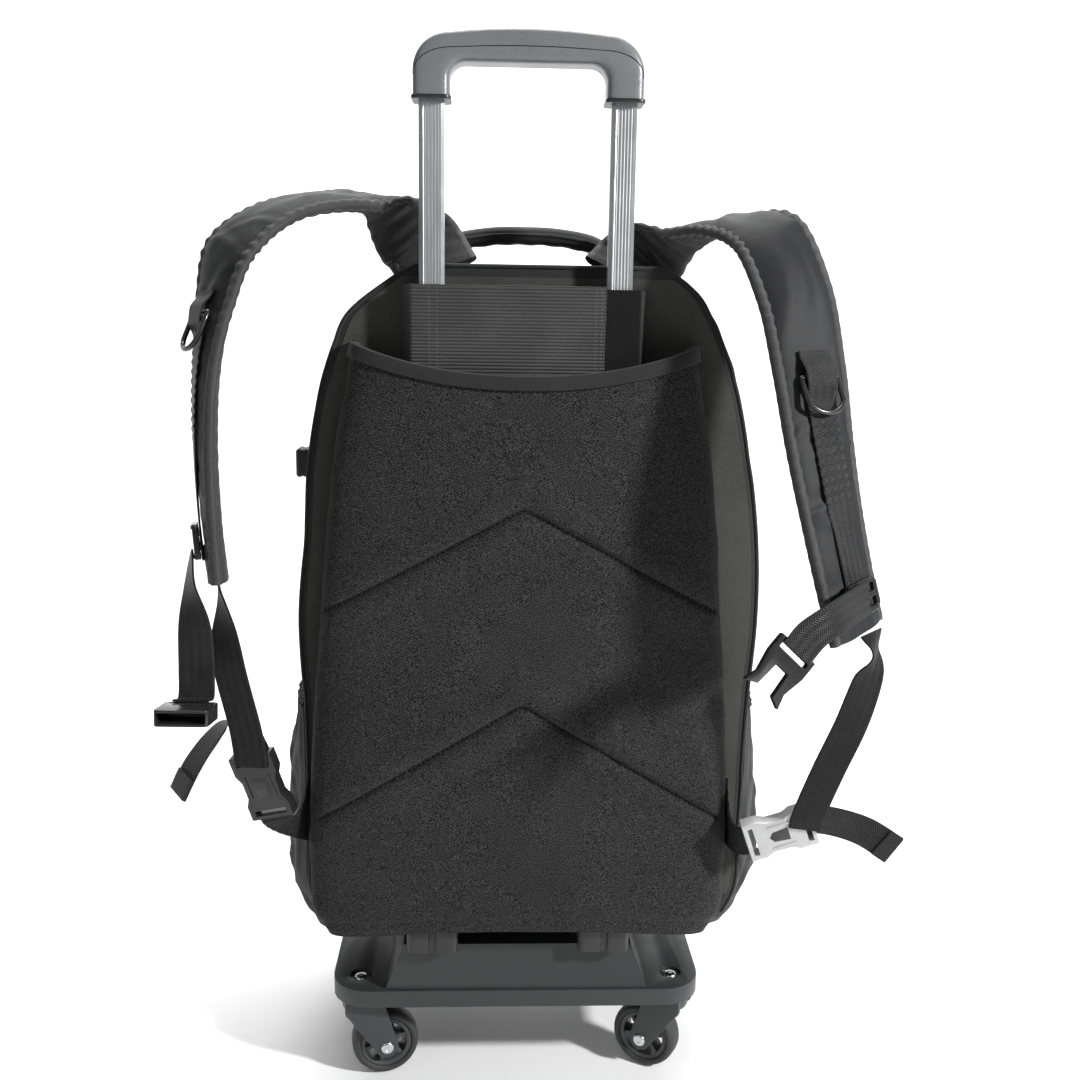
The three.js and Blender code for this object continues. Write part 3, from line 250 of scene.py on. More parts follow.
sweep = np.radians(np.linspace(0, 90, 24))
floor_line = np.concatenate([
    [[-3500, 0]], np.stack([1700 + 1000 * np.sin(sweep), 1000 - 1000 * np.cos(sweep)], -1),
    [[2700, 4500]],
])
floor_grid = np.stack(np.broadcast_arrays(
    np.linspace(-4500, 4500, 3)[None, :], floor_line[:, 0, None], floor_line[:, 1, None]), -1)
plaster = Finish("studio_floor", "").dress((0.96, 0.96, 0.96), 0.8)
studio_floor = piece("studio_floor", [patch(floor_grid)], plaster, crease=180)

look = np.array([np.sin(EYE_TURN) * np.cos(EYE_DIP), np.cos(EYE_TURN) * np.cos(EYE_DIP), -np.sin(EYE_DIP)])
level = np.array([np.cos(EYE_TURN), -np.sin(EYE_TURN), 0])
eye_up = np.cross(level, look)
eye_axes = np.eye(4)
eye_axes[:3, 0] = level * np.cos(EYE_TIP) + eye_up * np.sin(EYE_TIP)
eye_axes[:3, 1] = eye_up * np.cos(EYE_TIP) - level * np.sin(EYE_TIP)
eye_axes[:3, 2] = -look
eye_axes[:3, 3] = np.array(EYE) / 1000 + MIDLINE
camera_data = bpy.data.cameras.new("camera")
camera_data.lens, camera_data.sensor_width, camera_data.clip_start = EYE_LENS, 36, 0.01
camera = bpy.data.objects.new("camera", camera_data)
camera.matrix_world = Matrix(eye_axes.tolist())
bpy.context.scene.collection.objects.link(camera)
bpy.context.scene.camera = camera

# Each lamp: where it stands, where it points, its size, its power in watts
LAMPS = {
    "key_lamp": ((1470, -970, 1230), (30, 0, 380), 170, 52),
    "fill_lamp": ((-1300, -1300, 1300), (-60, 0, 420), 1300, 3),
    "top_lamp": ((0, 100, 2300), (0, 100, 0), 1700, 36),
    "wall_lamp": ((0, 700, 2300), (0, 2700, 700), 2000, 90),
}
for name, (place, aim, size, power) in LAMPS.items():
    lamp_data = bpy.data.lights.new(name, "AREA")
    lamp_data.shape, lamp_data.size, lamp_data.energy = "DISK", size / 1000, power
    lamp = bpy.data.objects.new(name, lamp_data)
    back = unit(np.array(place, float) - aim)
    side = unit(np.cross([0, 0, 1], back))
    axes = np.eye(4)
    axes[:3, 0], axes[:3, 1], axes[:3, 2] = side, np.cross(back, side), back
    axes[:3, 3] = np.array(place) / 1000 + MIDLINE
    lamp.matrix_world = Matrix(axes.tolist())
    bpy.context.scene.collection.objects.link(lamp)
world = bpy.data.worlds.new("studio_air")
bpy.context.scene.world = world
world.use_nodes = True
world.node_tree.nodes["Background"].inputs["Color"].default_value = (1, 1, 1, 1)
world.node_tree.nodes["Background"].inputs["Strength"].default_value = 0.24
bpy.context.scene.view_settings.view_transform = "Standard"

# Casters. Each is a nylon fork that swivels on a bolt through the tray, with a rubber-tyred wheel
# on a riveted steel axle behind the bolt. Fork, tyre and hub are moulded, rivet and bolt pressed.
WHEEL_RADIUS, WHEEL_HALF, TRAIL, FORK_WALL, SIDE_GAP = 27.0, 10.0, 19.0, 4.0, 1.5
CROWN_LOW, WING_TOP = 58.0, 85.7
CASTERS = [("rear_left", -126, 26, 12), ("rear_right", 126, 26, 150),
           ("front_left", -126, 186, 20), ("front_right", 126, 186, 165)]


def moulded(name, slot, shade, roughness, grain=0.7, relief=0.02):
    """Moulded plastic: a fine spark-eroded grain, with faint flow marks and handling marks."""
    finish = Finish(name, slot)
    fine, broad = finish.noise(grain, 1.0), finish.noise(38, 3.0)
    colour = finish.mix(fine * 0.6 + broad * 0.4, tuple(0.72 * c for c in shade),
                        tuple(1.35 * c for c in shade))
    rough = roughness + (broad - 0.5) * 0.22 + (fine - 0.5) * 0.1
    return finish.dress(colour, rough, fine * relief)


def drawn_metal(name, slot, shade, roughness, stretch, relief=0.01):
    """Metal with fine lines along the way it was drawn, brushed or turned."""
    finish = Finish(name, slot)
    lines = finish.noise(0.5, 3.0, stretch)
    smudge = finish.noise(22, 2.0)
    colour = finish.mix(lines, tuple(0.8 * c for c in shade), shade)
    return finish.dress(colour, roughness + (smudge - 0.5) * 0.12 + (lines - 0.5) * 0.12,
                        lines * relief, Metallic=1.0)


black_plastic = moulded("black_plastic", "black_plastic", (0.034, 0.035, 0.037), 0.42)
hub_plastic = moulded("hub_plastic", "black_plastic", (0.05, 0.051, 0.053), 0.36)
steel = drawn_metal("zinc_steel", "steel", (0.74, 0.74, 0.75), 0.24, (1, 1, 1))
rubber = moulded("tyre_rubber", "tyre", (0.026, 0.026, 0.027), 0.62, 0.5, 0.03)


def lathed(profile, turns, centre):
    """A profile of radius and place along the axis, turned about the Y axis through centre."""
    angle = np.linspace(0, 2 * np.pi, turns, endpoint=False)
    radius, along = np.array(profile, float).T
    return np.stack(np.broadcast_arrays(
        centre[0] + radius[:, None] * np.cos(angle), centre[1] + along[:, None],
        centre[2] + radius[:, None] * np.sin(angle)), -1)


def stood(points, x, y, heading):
    """Points turned about the upright axis by heading degrees and set down at x, y."""
    c, s = np.cos(np.radians(heading)), np.sin(np.radians(heading))
    return points @ np.array([[c, s, 0], [-s, c, 0], [0, 0, 1]]) + [x, y, 0]


def inset(outline, depth):
    """A flat closed outline moved inwards by depth along the mean of its neighbours' normals."""
    along = unit(np.roll(outline, -1, 0) - np.roll(outline, 1, 0))
    return outline + depth * np.stack([-along[:, 1], along[:, 0]], -1)


def plate(outline, low, high, edge, steps=4):
    """A flat closed outline, counter-clockwise, as rings from low to high with round edges."""
    bend = np.radians(np.linspace(0, 90, steps + 1))
    depth = edge * (1 - np.sin(bend))
    height = edge * (1 - np.cos(bend))
    insets = np.concatenate([depth, depth[::-1]])
    heights = np.concatenate([low + height, high - height[::-1]])
    return np.stack([np.column_stack([inset(outline, d), np.full(len(outline), h)])
                     for d, h in zip(insets, heights)])


def arc(x, y, radius, start, stop, steps):
    """Points on an arc, angles in degrees."""
    angle = np.radians(np.linspace(start, stop, steps))
    return np.stack([x + radius * np.cos(angle), y + radius * np.sin(angle)], -1)


tyre_side = [(20.4, 8.0), (21.2, 9.4), (22.6, 10.0), (24.2, 9.7), (25.6, 8.4), (26.6, 6.2), (27.0, 3.4)]
tyre_profile = tyre_side + [(r, -h) for r, h in reversed(tyre_side)]
hub_profile = [(17.2, 7.6), (19.4, 8.6), (20.3, 8.3), (20.3, -8.3), (19.4, -8.6), (17.2, -7.6)]
boss_side = [(3.5, 9.6), (6.2, 9.6), (7.0, 8.6), (7.6, 3.0)]
boss_profile = boss_side + [(r, -h) for r, h in reversed(boss_side)]
arm_line = np.concatenate([
    arc(TRAIL, 27, 9.2, -158, 20, 14), arc(11.5, 67.5, 4.5, 20, 88, 5),
    arc(-10.5, 68, 4.0, 92, 180, 5), arc(-9, 61, 5.5, 180, 236, 4),
])
pin_reach = WHEEL_HALF + SIDE_GAP + FORK_WALL + 0.3
head_profile = [(3.0, -0.3), (5.1, -0.3), (5.2, 0.2), (4.9, 0.9), (4.1, 1.5), (3.0, 1.8), (1.9, 1.75),
                (1.5, 1.3), (1.0, 1.2), (0.02, 1.2)]
for corner, x, y, heading in CASTERS:
    wheel = (TRAIL, 0, WHEEL_RADIUS)
    spin = 37 * x / 100 + y / 9
    tyre = lathed(tyre_profile, 72, wheel)
    piece(f"tyre_{corner}", [hoop(stood(tyre, x, y, heading))], rubber,
          f"wheel_{corner}", [f"caster_wheel_{corner}"])
    hub = [hoop(stood(lathed(profile, 64, wheel), x, y, heading))
           for profile in (hub_profile, boss_profile)]
    for k in range(6):
        bar = plate(np.array([[6.8, -2.0], [18.0, -1.5], [18.0, 1.5], [6.8, 2.0]]), -6.5, 6.5, 0.8, 2)
        c, s = np.cos(np.radians(60 * k + spin)), np.sin(np.radians(60 * k + spin))
        along, beside, thick = np.moveaxis(bar, -1, 0)
        spoke = np.stack([along * c - beside * s, thick, along * s + beside * c], -1)
        hub.append(solid(stood((spoke + wheel)[::-1], x, y, heading)))
    piece(f"hub_{corner}", hub, hub_plastic, f"wheel_{corner}")

    fork = []
    for low in (WHEEL_HALF + SIDE_GAP, -WHEEL_HALF - SIDE_GAP - FORK_WALL):
        arm = plate(arm_line, low, low + FORK_WALL, 1.2)[..., [0, 2, 1]]
        fork.append(solid(stood(arm[::-1], x, y, heading)))
    crown = lathed([(4.6, 71.2), (13.6, 71.2), (14.8, 70.2), (15.2, 66), (15.4, 61.5), (14.4, 59.2),
                    (11.5, 58.2), (4.6, 58.2)], 48, (0, 0, 0))[..., [0, 2, 1]]
    fork.append(hoop(stood(crown, x, y, heading)[::-1]))
    reach = WHEEL_HALF + SIDE_GAP + 1
    shoulder = plate(np.concatenate([arc(9, 67.4, 3.5, -60, 90, 6), arc(-9, 66.9, 4, 90, 180, 6),
                                     arc(-8, 61.5, 4.6, 180, 262, 5)]), -reach, reach, 0.4)[..., [0, 2, 1]]
    fork.append(solid(stood(shoulder[::-1], x, y, heading)))
    piece(f"fork_{corner}", fork, black_plastic, f"fork_{corner}", [f"caster_fork_{corner}"])

    rivet = []
    for side in (1, -1):
        head = lathed([(r, side * (pin_reach + h)) for r, h in head_profile], 32, wheel)
        rivet.append(patch(stood(head[::side], x, y, heading), True))
    pin = lathed([(3, -pin_reach), (3, pin_reach)], 24, wheel)[::-1]
    rivet.append(patch(stood(pin, x, y, heading), True))
    piece(f"axle_rivet_{corner}", rivet, steel, f"fork_{corner}", [f"caster_axle_{corner}"])

    seat = WING_TOP - 2.7
    bolt_head = lathed([(0.02, 1.1), (1.7, 1.1), (2.0, 2.5), (3.9, 2.35), (5.0, 1.4), (5.3, 0.9), (7.3, 0.8),
                        (7.5, 0.3), (7.5, -0.2)], 40, (0, seat, 0))[..., [0, 2, 1]]
    bolt_shank = lathed([(4.0, -0.2), (4.0, CROWN_LOW + 1 - seat), (0.02, CROWN_LOW + 1 - seat)], 24,
                        (0, seat, 0))[..., [0, 2, 1]]
    piece(f"bolt_{corner}", [patch(stood(p, x, y, heading), True) for p in (bolt_head, bolt_shank)],
          steel, "pack", [f"caster_bolt_{corner}"])

# Base tray. One injection-moulded tray carries the bag: two flat wings over the casters with a
# raised block between them, ribbed underneath. Its edges are rounded and its face has a fine grain.
def eased(node, name, finish, width, body="pack", segments=3):
    """A moulded solid with its true holes, and every sharp edge rounded by width millimetres."""
    built = bmesh.new()
    built.from_mesh(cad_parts[node].data)
    bmesh.ops.remove_doubles(built, verts=built.verts, dist=1e-6)
    bmesh.ops.dissolve_limit(built, angle_limit=np.radians(1), verts=built.verts, edges=built.edges)
    mesh = bpy.data.meshes.new(name)
    built.to_mesh(mesh)
    built.free()
    made = bpy.data.objects.new(name, mesh)
    bpy.context.scene.collection.objects.link(made)
    mesh.materials.clear()
    mesh.materials.append(finish.material)
    mesh.polygons.foreach_set("use_smooth", np.ones(len(mesh.polygons), bool))
    rounding = made.modifiers.new("rounding", "BEVEL")
    rounding.width, rounding.segments, rounding.limit_method = width / 1000, segments, "ANGLE"
    rounding.angle_limit, rounding.harden_normals = np.radians(30), True
    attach(made, body)
    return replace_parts(made, node)


tray_plastic = moulded("tray_plastic", "black_plastic", (0.028, 0.029, 0.03), 0.46, 0.9, 0.03)
grey_plastic = moulded("grey_plastic", "grey_plastic", (0.018, 0.018, 0.019), 0.45)
eased("base_tray", "tray", tray_plastic, 1.8)
eased("front_rest", "rest_block", grey_plastic, 2)

# Trolley handle. Two fluted aluminium tubes slide inside two fixed ones and carry a grip of two
# moulded half shells, closed along a parting line, with a release button let into its top. The
# fixed tubes stand in grey moulded feet, each split by a slot, on the tray's block.
TUBE_X, LEG_END, GRIP_TOP, GRIP_HALF, LEG_WIDTH, GRIP_BAR = 66.8, 758.7, 803.7, 79.8, 26.0, 21.5
TUBE_FACE, TUBE_SIDE, TUBE_CHAMFER, FLUTE_PITCH, FLUTE = 6.0, 9.0, 2.5, 2.3, 0.2
SLIDING_LOW, SLIDING_TOP, FIXED_LOW, FIXED_TOP, FOOT_LOW, FOOT_TOP = 234.4, 771.4, 128.3, 629.7, 124.0, 144.3
aluminium = drawn_metal("drawn_aluminium", "aluminium", (0.7, 0.71, 0.73), 0.34, (1, 1, 60))
# The grip's colour is painted lighter than its near-black plastic: painted sheen, standing for the highlights
# on its grain.
grip_plastic = moulded("grip_plastic", "grip_plastic", (0.14, 0.143, 0.15), 0.34, 1.1, 0.09)
dark_rim = moulded("grip_collar_plastic", "grip_plastic", (0.015, 0.015, 0.016), 0.4)


def tube_outline(half_width, half_depth, chamfer, flute):
    """A chamfered oblong, counter-clockwise, whose front and back faces are fluted."""
    x = np.linspace(chamfer - half_width, half_width - chamfer, 45)
    fluted = np.abs(x) < half_width - chamfer - 0.9
    ridge = half_depth - flute * (1 - np.cos(2 * np.pi * x / FLUTE_PITCH)) / 2 * fluted
    front, back = np.stack([x, -ridge], -1), np.stack([-x, ridge], -1)
    side = np.array([[half_width, chamfer - half_depth], [half_width, half_depth - chamfer]])
    return np.concatenate([front, side, back, -side])


def upright(outline, x, heights):
    """A flat outline stood up through the given heights at x."""
    return np.stack([np.column_stack([outline + [x, 0], np.full(len(outline), z)]) for z in heights])


def oblong(half_x, half_y, radius, steps=6, x=0, y=0):
    """A rounded oblong, counter-clockwise."""
    corners = [(1, -1, -90), (1, 1, 0), (-1, 1, 90), (-1, -1, 180)]
    return np.concatenate([arc(x + side * (half_x - radius), y + end * (half_y - radius), radius, start,
                               start + 90, steps) for side, end, start in corners])


# A foot's right half from above, open towards the tube that stands in it
foot_half = np.concatenate([
    arc(15.3, -6.9, 4.5, -90, 0, 6), arc(15.3, 10.9, 4.5, 0, 90, 6), arc(4.1, 13.9, 1.5, 90, 180, 4),
    [[2.6, 8.0], [11.0, 8.0], [11.0, -8.0], [2.6, -8.0]], arc(4.1, -9.9, 1.5, 180, 270, 4),
])
for name, side in (("left", -1), ("right", 1)):
    x = side * TUBE_X
    inner = tube_outline(TUBE_SIDE, TUBE_FACE, TUBE_CHAMFER, FLUTE)
    piece(f"sliding_tube_{name}", [solid(upright(inner, x, np.linspace(SLIDING_LOW, SLIDING_TOP, 8)))],
          aluminium, "handle", [f"inner_tube_{name}"], crease=25)
    outer = tube_outline(TUBE_SIDE + 1.7, TUBE_FACE + 1.7, TUBE_CHAMFER, FLUTE)
    bore = tube_outline(TUBE_SIDE + 0.4, TUBE_FACE + 0.4, TUBE_CHAMFER - 0.2, 0.0)
    rows = [FIXED_LOW, 300, FIXED_TOP]
    wall = np.concatenate([upright(outer, x, rows), upright(bore, x, rows[::-1])])
    piece(f"fixed_tube_{name}", [hoop(wall)], aluminium, "pack", [f"outer_tube_{name}"], crease=25)
    halves = []
    for part in (-1, 1):
        half = (foot_half * [part, 1])[::part] + [x, 0]
        halves.append(solid(plate(half, FOOT_LOW, FOOT_TOP, 1.2)))
    for half_width, half_depth, y in ((3.4, 0.6, -8.7), (6, 3, 11.5)):
        bridge = oblong(half_width, half_depth, 0.5, x=x, y=y)
        halves.append(solid(plate(bridge, FOOT_LOW + 0.1, FOOT_TOP - 3.3, 0.4)))
    piece(f"foot_{name}", halves, grey_plastic, "pack", [f"tube_foot_{name}"])
    leg = oblong(LEG_WIDTH / 2 + 0.7, 14.6, 4.5, x=side * (GRIP_HALF - LEG_WIDTH / 2))
    collar = plate(leg, LEG_END - 1.2, LEG_END + 1.6, 0.7)
    piece(f"grip_collar_{name}", [solid(collar)], dark_rim, "handle")

# The grip's outer and inner lines from the left leg's end over the bar to the right leg's end
leg_rise, bend, span = np.linspace(0, 1, 8)[:-1], np.linspace(0, 1, 14), np.linspace(-1, 1, 44)[1:-1]
shoulder, arch = GRIP_TOP - 2.0, GRIP_TOP - GRIP_BAR
quarter = np.radians(180 - 90 * bend)
GRIP_BOW, GRIP_HALF_DEPTH, GRIP_SQUARENESS = 3.4, 14, 0.42


def grip_line(half, top, radius, bow):
    """Up a leg at -half, round its bend, along a bar that bows up by bow, and down the other leg."""
    leg = np.stack([np.full(7, -half), LEG_END + leg_rise * (top - radius - LEG_END)], -1)
    corner = [radius - half, top - radius] + radius * np.stack([np.cos(quarter), np.sin(quarter)], -1)
    bar = np.stack([span * (half - radius), top + bow * (1 - span ** 2)], -1)
    return np.concatenate([leg, corner, bar, corner[::-1] * [-1, 1], leg[::-1] * [-1, 1]])


grip_outer = grip_line(GRIP_HALF, shoulder, 25, GRIP_BOW)
grip_inner = grip_line(GRIP_HALF - LEG_WIDTH, arch, 11, 0)
# The seam's height in the section at each row, from 1 at the outer line to -1 at the inner one
seam = np.concatenate([np.full(6, 0.985), [0.93], 0.9 - np.sin(bend * np.pi / 2) ** 1.4,
                       np.full(len(span), -0.1)])
seam = np.concatenate([seam, seam[:21][::-1]])


def grip_shell(rows, start, stop):
    """The part of the grip's rounded-oblong section between two angles, at the given rows."""
    turn = start[:, None] + (stop - start)[:, None] * np.linspace(0, 1, 56)
    rise, depth = (np.sign(f(turn)) * np.abs(f(turn)) ** GRIP_SQUARENESS for f in (np.sin, np.cos))
    middle, reach = ((grip_outer[rows] + k * grip_inner[rows])[:, None] / 2 for k in (1, -1))
    in_plane = middle + rise[..., None] * reach
    return np.stack([in_plane[..., 0], -GRIP_HALF_DEPTH * depth, in_plane[..., 1]], -1)


def seam_angle(share):
    """The angle at which the section stands at a share of its height."""
    return np.arcsin(np.sign(share) * np.abs(share) ** (1 / GRIP_SQUARENESS))


every, capped = np.arange(len(seam)), np.arange(6, len(seam) - 6)
low = seam_angle(seam - 0.03)
high = seam_angle(np.minimum(seam[capped] + 0.03, 0.99))
piece("grip_body", [solid(grip_shell(every, np.pi - low, 2 * np.pi + low))], grip_plastic,
      "handle", ["grip_lower_shell"], crease=50)
piece("grip_cover", [solid(grip_shell(capped, high, np.pi - high))], grip_plastic, "handle",
      ["grip_cap"], crease=50)
button = plate(oblong(20, 6, 4), 796.0, 804.7, 1.3)
piece("release_button", [solid(button)], dark_rim, "button", ["release_button"])

# Bag. A soft body of woven polyester over foam, cut as a back, two side gussets of smoother nylon
# and a front, sewn together along piped seams. It sags a little between the seams and creases
# towards its corners; the back, behind the padded panel, is a brushed grey cloth.
BAG_LEFT, BAG_RIGHT, BAG_DEPTH, BAG_LOW, BAG_HEIGHT, BACK = 168, 181, 188, 144.7, 503, 12
BACK_CORNER, FRONT_CORNER = 6, 45
# Height, left half width, right half width and depth, as shares of the bag's own
BAG_SECTIONS = np.array([
    (0, 0.93, 0.91, 0.95), (0.03, 0.965, 0.95, 0.98), (0.14, 0.975, 0.965, 1), (0.36, 0.985, 0.978, 1),
    (0.48, 1, 1, 0.99), (0.6, 0.97, 0.988, 0.97), (0.72, 0.945, 0.94, 0.945), (0.82, 0.89, 0.88, 0.91),
    (0.885, 0.825, 0.82, 0.86), (0.93, 0.762, 0.762, 0.8), (0.97, 0.62, 0.68, 0.7), (0.99, 0.53, 0.6, 0.6),
    (1, 0.47, 0.53, 0.52),
])


def reading(table, keys):
    """A table's columns at the keys along its first, on cubics whose slopes are the mean ones."""
    x, y = table[:, 0], table[:, 1:]
    slope = np.gradient(y, x, axis=0)
    i = np.clip(np.searchsorted(x, keys, side="right") - 1, 0, len(x) - 2)
    step = (x[i + 1] - x[i])[:, None]
    f = ((keys - x[i])[:, None] / step).clip(0, 1)
    start, stop = y[i], y[i + 1]
    return (start * (1 + 2 * f) * (1 - f) ** 2 + stop * f ** 2 * (3 - 2 * f)
            + step * (slope[i] * f * (1 - f) ** 2 - slope[i + 1] * f ** 2 * (1 - f)))


def bag_reach(share):
    """Left, right and front of the bag at a share of its height."""
    left, right, depth = reading(BAG_SECTIONS, share).T
    return -BAG_LEFT * left, BAG_RIGHT * right, BACK + BAG_DEPTH * depth


# Corners in order, each with its side, its end, its radius and its first angle
BAG_CORNERS = ((-1, 1, FRONT_CORNER, 90), (-1, -1, BACK_CORNER, 180), (1, -1, BACK_CORNER, 270),
               (1, 1, FRONT_CORNER, 0))
RUNS = (44, 70, 44, 60)


def bag_ring(share, narrow):
    """The bag's round-cornered outline at each height, narrowed, with its outward directions."""
    x0, x1, y1 = (a + b for a, b in zip(bag_reach(share), (narrow, -narrow, -narrow)))
    y0 = BACK + narrow
    bends = []
    for side, end, radius, start in BAG_CORNERS:
        angle = np.radians(start + np.linspace(0, 90, 10))
        r = np.maximum(radius - narrow, 1.0)[:, None]
        x = (x0[:, None] + r if side < 0 else x1[:, None] - r) + r * np.cos(angle)
        y = (y0[:, None] + r if end < 0 else y1[:, None] - r) + r * np.sin(angle)
        bends.append((np.stack([x, y], -1), np.stack([np.cos(angle), np.sin(angle)], -1)))
    places, outwards = [], []
    for k, (bend_points, bend_out) in enumerate(bends):
        after = bends[(k + 1) % 4][0][:, :1]
        f = np.linspace(0, 1, RUNS[k] + 1)[1:-1, None]
        places += [bend_points, bend_points[:, -1:] * (1 - f) + after * f]
        outwards += [bend_out, np.repeat(bend_out[-1:], len(f), 0)]
    return np.concatenate(places, 1), np.concatenate(outwards)


def creased(u, v, marks):
    """Soft ridges with a hollow beside each: place, direction, length, width and height."""
    relief = np.zeros(np.broadcast(u, v).shape)
    for u0, v0, turn, length, width, height in marks:
        c, s = np.cos(np.radians(turn)), np.sin(np.radians(turn))
        along, beside = (u - u0) * c + (v - v0) * s, (v - v0) * c - (u - u0) * s
        beside = beside + 0.25 * along ** 2 / length
        ridge = np.exp(-(beside / width) ** 2) - 0.6 * np.exp(-((beside - 1.7 * width) / width) ** 2)
        relief += height * ridge * np.exp(-(along / length) ** 2)
    return relief


chance = np.random.default_rng(11)


def scattered(count, u, v, turns, lengths, widths, heights):
    """Crease marks strewn over a cloth, within the given ranges."""
    return np.column_stack([chance.uniform(*pair, count) for pair in (u, v, turns, lengths, widths, heights)])


rise = np.concatenate([np.linspace(0, 0.9, 110), np.linspace(0.9, 1, 40)[1:]])
tuck = np.array([34, 22, 12, 6, 2.5, 0.8])
shares = np.concatenate([np.zeros(6), rise, np.ones(7)])
narrow = np.concatenate([tuck, np.zeros(len(rise)), [0.8, 2.5, 6, 12, 20, 30, 38]])
places, outwards = bag_ring(shares, narrow)
heights = BAG_LOW + shares * BAG_HEIGHT
heights[:6] += np.array([0, 0, 0, 0.2, 0.5, 0.9])
heights[-7:] += np.array([0.3, 0.9, 1.5, 2.0, 2.3, 2.5, 2.6]) - 0.9
girth = np.concatenate([[0], np.cumsum(np.linalg.norm(np.diff(places[60], axis=0), axis=-1))])
out_x, out_y = outwards.T
on_side, on_back = np.abs(out_x) ** 4, np.maximum(-out_y, 0) ** 4
fade = np.clip((heights - BAG_LOW) / 25, 0, 1) * np.clip((BAG_LOW + BAG_HEIGHT - 4 - heights) / 30, 0, 1)
fade = fade[:, None]
side_marks = np.concatenate([
    scattered(60, (0, girth[-1]), (150, 620), (60, 120), (30, 90), (3.5, 8), (0.5, 1.7)),
    scattered(70, (0, girth[-1]), (150, 330), (20, 160), (12, 40), (2.5, 5), (0.4, 1.3)),
    scattered(40, (0, girth[-1]), (430, 640), (20, 160), (15, 45), (3, 6), (0.5, 1.5)),
])
middle_y = (places[..., 1] - BACK) / np.maximum(places[..., 1].max(1, keepdims=True) - BACK, 1)
sag = -2.6 * on_side * np.sin(np.pi * middle_y.clip(0, 1)) ** 2 * np.sin((heights[:, None] - 160) / 60) ** 2
relief = fade * (creased(girth[None, :], heights[:, None], side_marks) * (1 - on_back) * 0.9 + sag)
seam_dip = np.exp(-((places[..., 1] - (places[..., 1].max(1, keepdims=True) - FRONT_CORNER)) / 2.2) ** 2)
relief -= 1.3 * fade * seam_dip * on_side
bag_points = np.concatenate([places + relief[..., None] * outwards, np.broadcast_to(heights[:, None, None],
                                                                                 (*places.shape[:2], 1))], -1)


def woven(name, slot, shade, pitch=0.62, roughness=0.62, relief=0.05, fleck=0.35, broad=0.25, sheen=0.12):
    """Plain-woven yarn: a checker of over and under, with flecked yarns and worn, dusty areas."""
    finish = Finish(name, slot)
    across, along = finish.cloth_place()
    weave = across.wave(pitch) * along.wave(pitch)
    yarn, wear = finish.noise(0.45, 2.0), finish.noise(45, 4.0)
    tone = 0.5 + (yarn - 0.5) * (2 * fleck) + (wear - 0.5) * (2 * broad) + weave * 0.12
    colour = finish.mix(tone.between(0.0, 1.0), tuple(0.45 * c for c in shade), tuple(1.6 * c for c in shade))
    rough = roughness + (wear - 0.5) * 0.2
    crumple = finish.noise(7, 3.0) * 0.35
    return finish.dress(colour, rough, weave * relief + yarn * relief + crumple, Sheen_Weight=sheen,
                        Specular_IOR_Level=0.18)


bag_cloth = woven("bag_cloth", "nylon", (0.021, 0.021, 0.022))
brushed = woven("brushed_back_cloth", "nylon", (0.052, 0.052, 0.05), 1.1, 0.85, 0.12, 0.6, 0.2)
piece("bag_body", [solid(bag_points)], bag_cloth, "pack", ["bag_shell"], crease=70)
back_columns = np.flatnonzero(out_y < -0.99)
back_rows = np.flatnonzero((heights > 160) & (shares <= 0.985) & (narrow == 0))
back_cloth = bag_points[back_rows[:, None], back_columns[None, :]] - [0, 0.5, 0]
piece("back_cloth", [patch(back_cloth)], brushed, crease=70)


def carried(path, across, out, section):
    """A closed section of (across, out) places carried along a path by its own directions."""
    section = np.asarray(section, float)
    section = section if section.ndim == 3 else section[None]
    return path[:, None] + section[..., :1] * across[:, None] + section[..., 1:] * out[:, None]


def cord_round(path, radius, hint, closed=False, sides=10):
    """A round cord along a path; hint is a direction that the path never takes."""
    if closed:
        run = unit(np.roll(path, -1, 0) - np.roll(path, 1, 0))
    else:
        run = unit(np.gradient(path, axis=0))
    across = unit(np.cross(run, hint))
    circle = radius * arc(0, 0, 1, 0, 360 - 360 / sides, sides)
    tube = carried(path, across, np.cross(across, run), circle)
    return patch(tube, True, closed, "" if closed else "face")


binding_cloth = woven("seam_binding", "binding", (0.016, 0.016, 0.017), 0.9, 0.6, 0.1)
crown = np.flatnonzero(narrow == 0)[-1] + 1
body_rows = np.arange(6, crown)
back_left, back_right = back_columns[0] - 5, back_columns[-1] + 5
back_edge = np.concatenate([bag_points[body_rows, back_left], bag_points[crown, back_columns],
                            bag_points[body_rows[::-1], back_right]])
front_columns = np.r_[3:-1:-1, len(out_x) - 1:190:-1]
front_edge = np.concatenate([bag_points[body_rows, 4], bag_points[crown, front_columns],
                             bag_points[body_rows[::-1], 190]])
piece("back_piping", [cord_round(back_edge + [0, -0.8, 0.4], 1.6, [0.05, 1, 0.02])], binding_cloth)
piece("front_piping", [cord_round(front_edge + [0, 1.2, 0.2], 1.5, [0.05, 1, 0.02])], binding_cloth)

# Main zip. Two flaps of coated tape are sewn to the gusset and meet over a nylon coil; the coil
# shows between their folded edges, and a steel slider with a long puller closes it.
ZIP_PLANE, ZIP_START = 130, 320.7
zip_tape = woven("zip_tape", "smooth_nylon", (0.02, 0.02, 0.021), 0.5, 0.45, 0.03, 0.15, 0.15)
zip_coil = moulded("zip_coil", "black_plastic", (0.018, 0.018, 0.018), 0.35)
zip_steps = np.concatenate([np.linspace((ZIP_START - BAG_LOW) / BAG_HEIGHT, 0.9, 120),
                            np.linspace(0.9, 1, 200)[1:]])


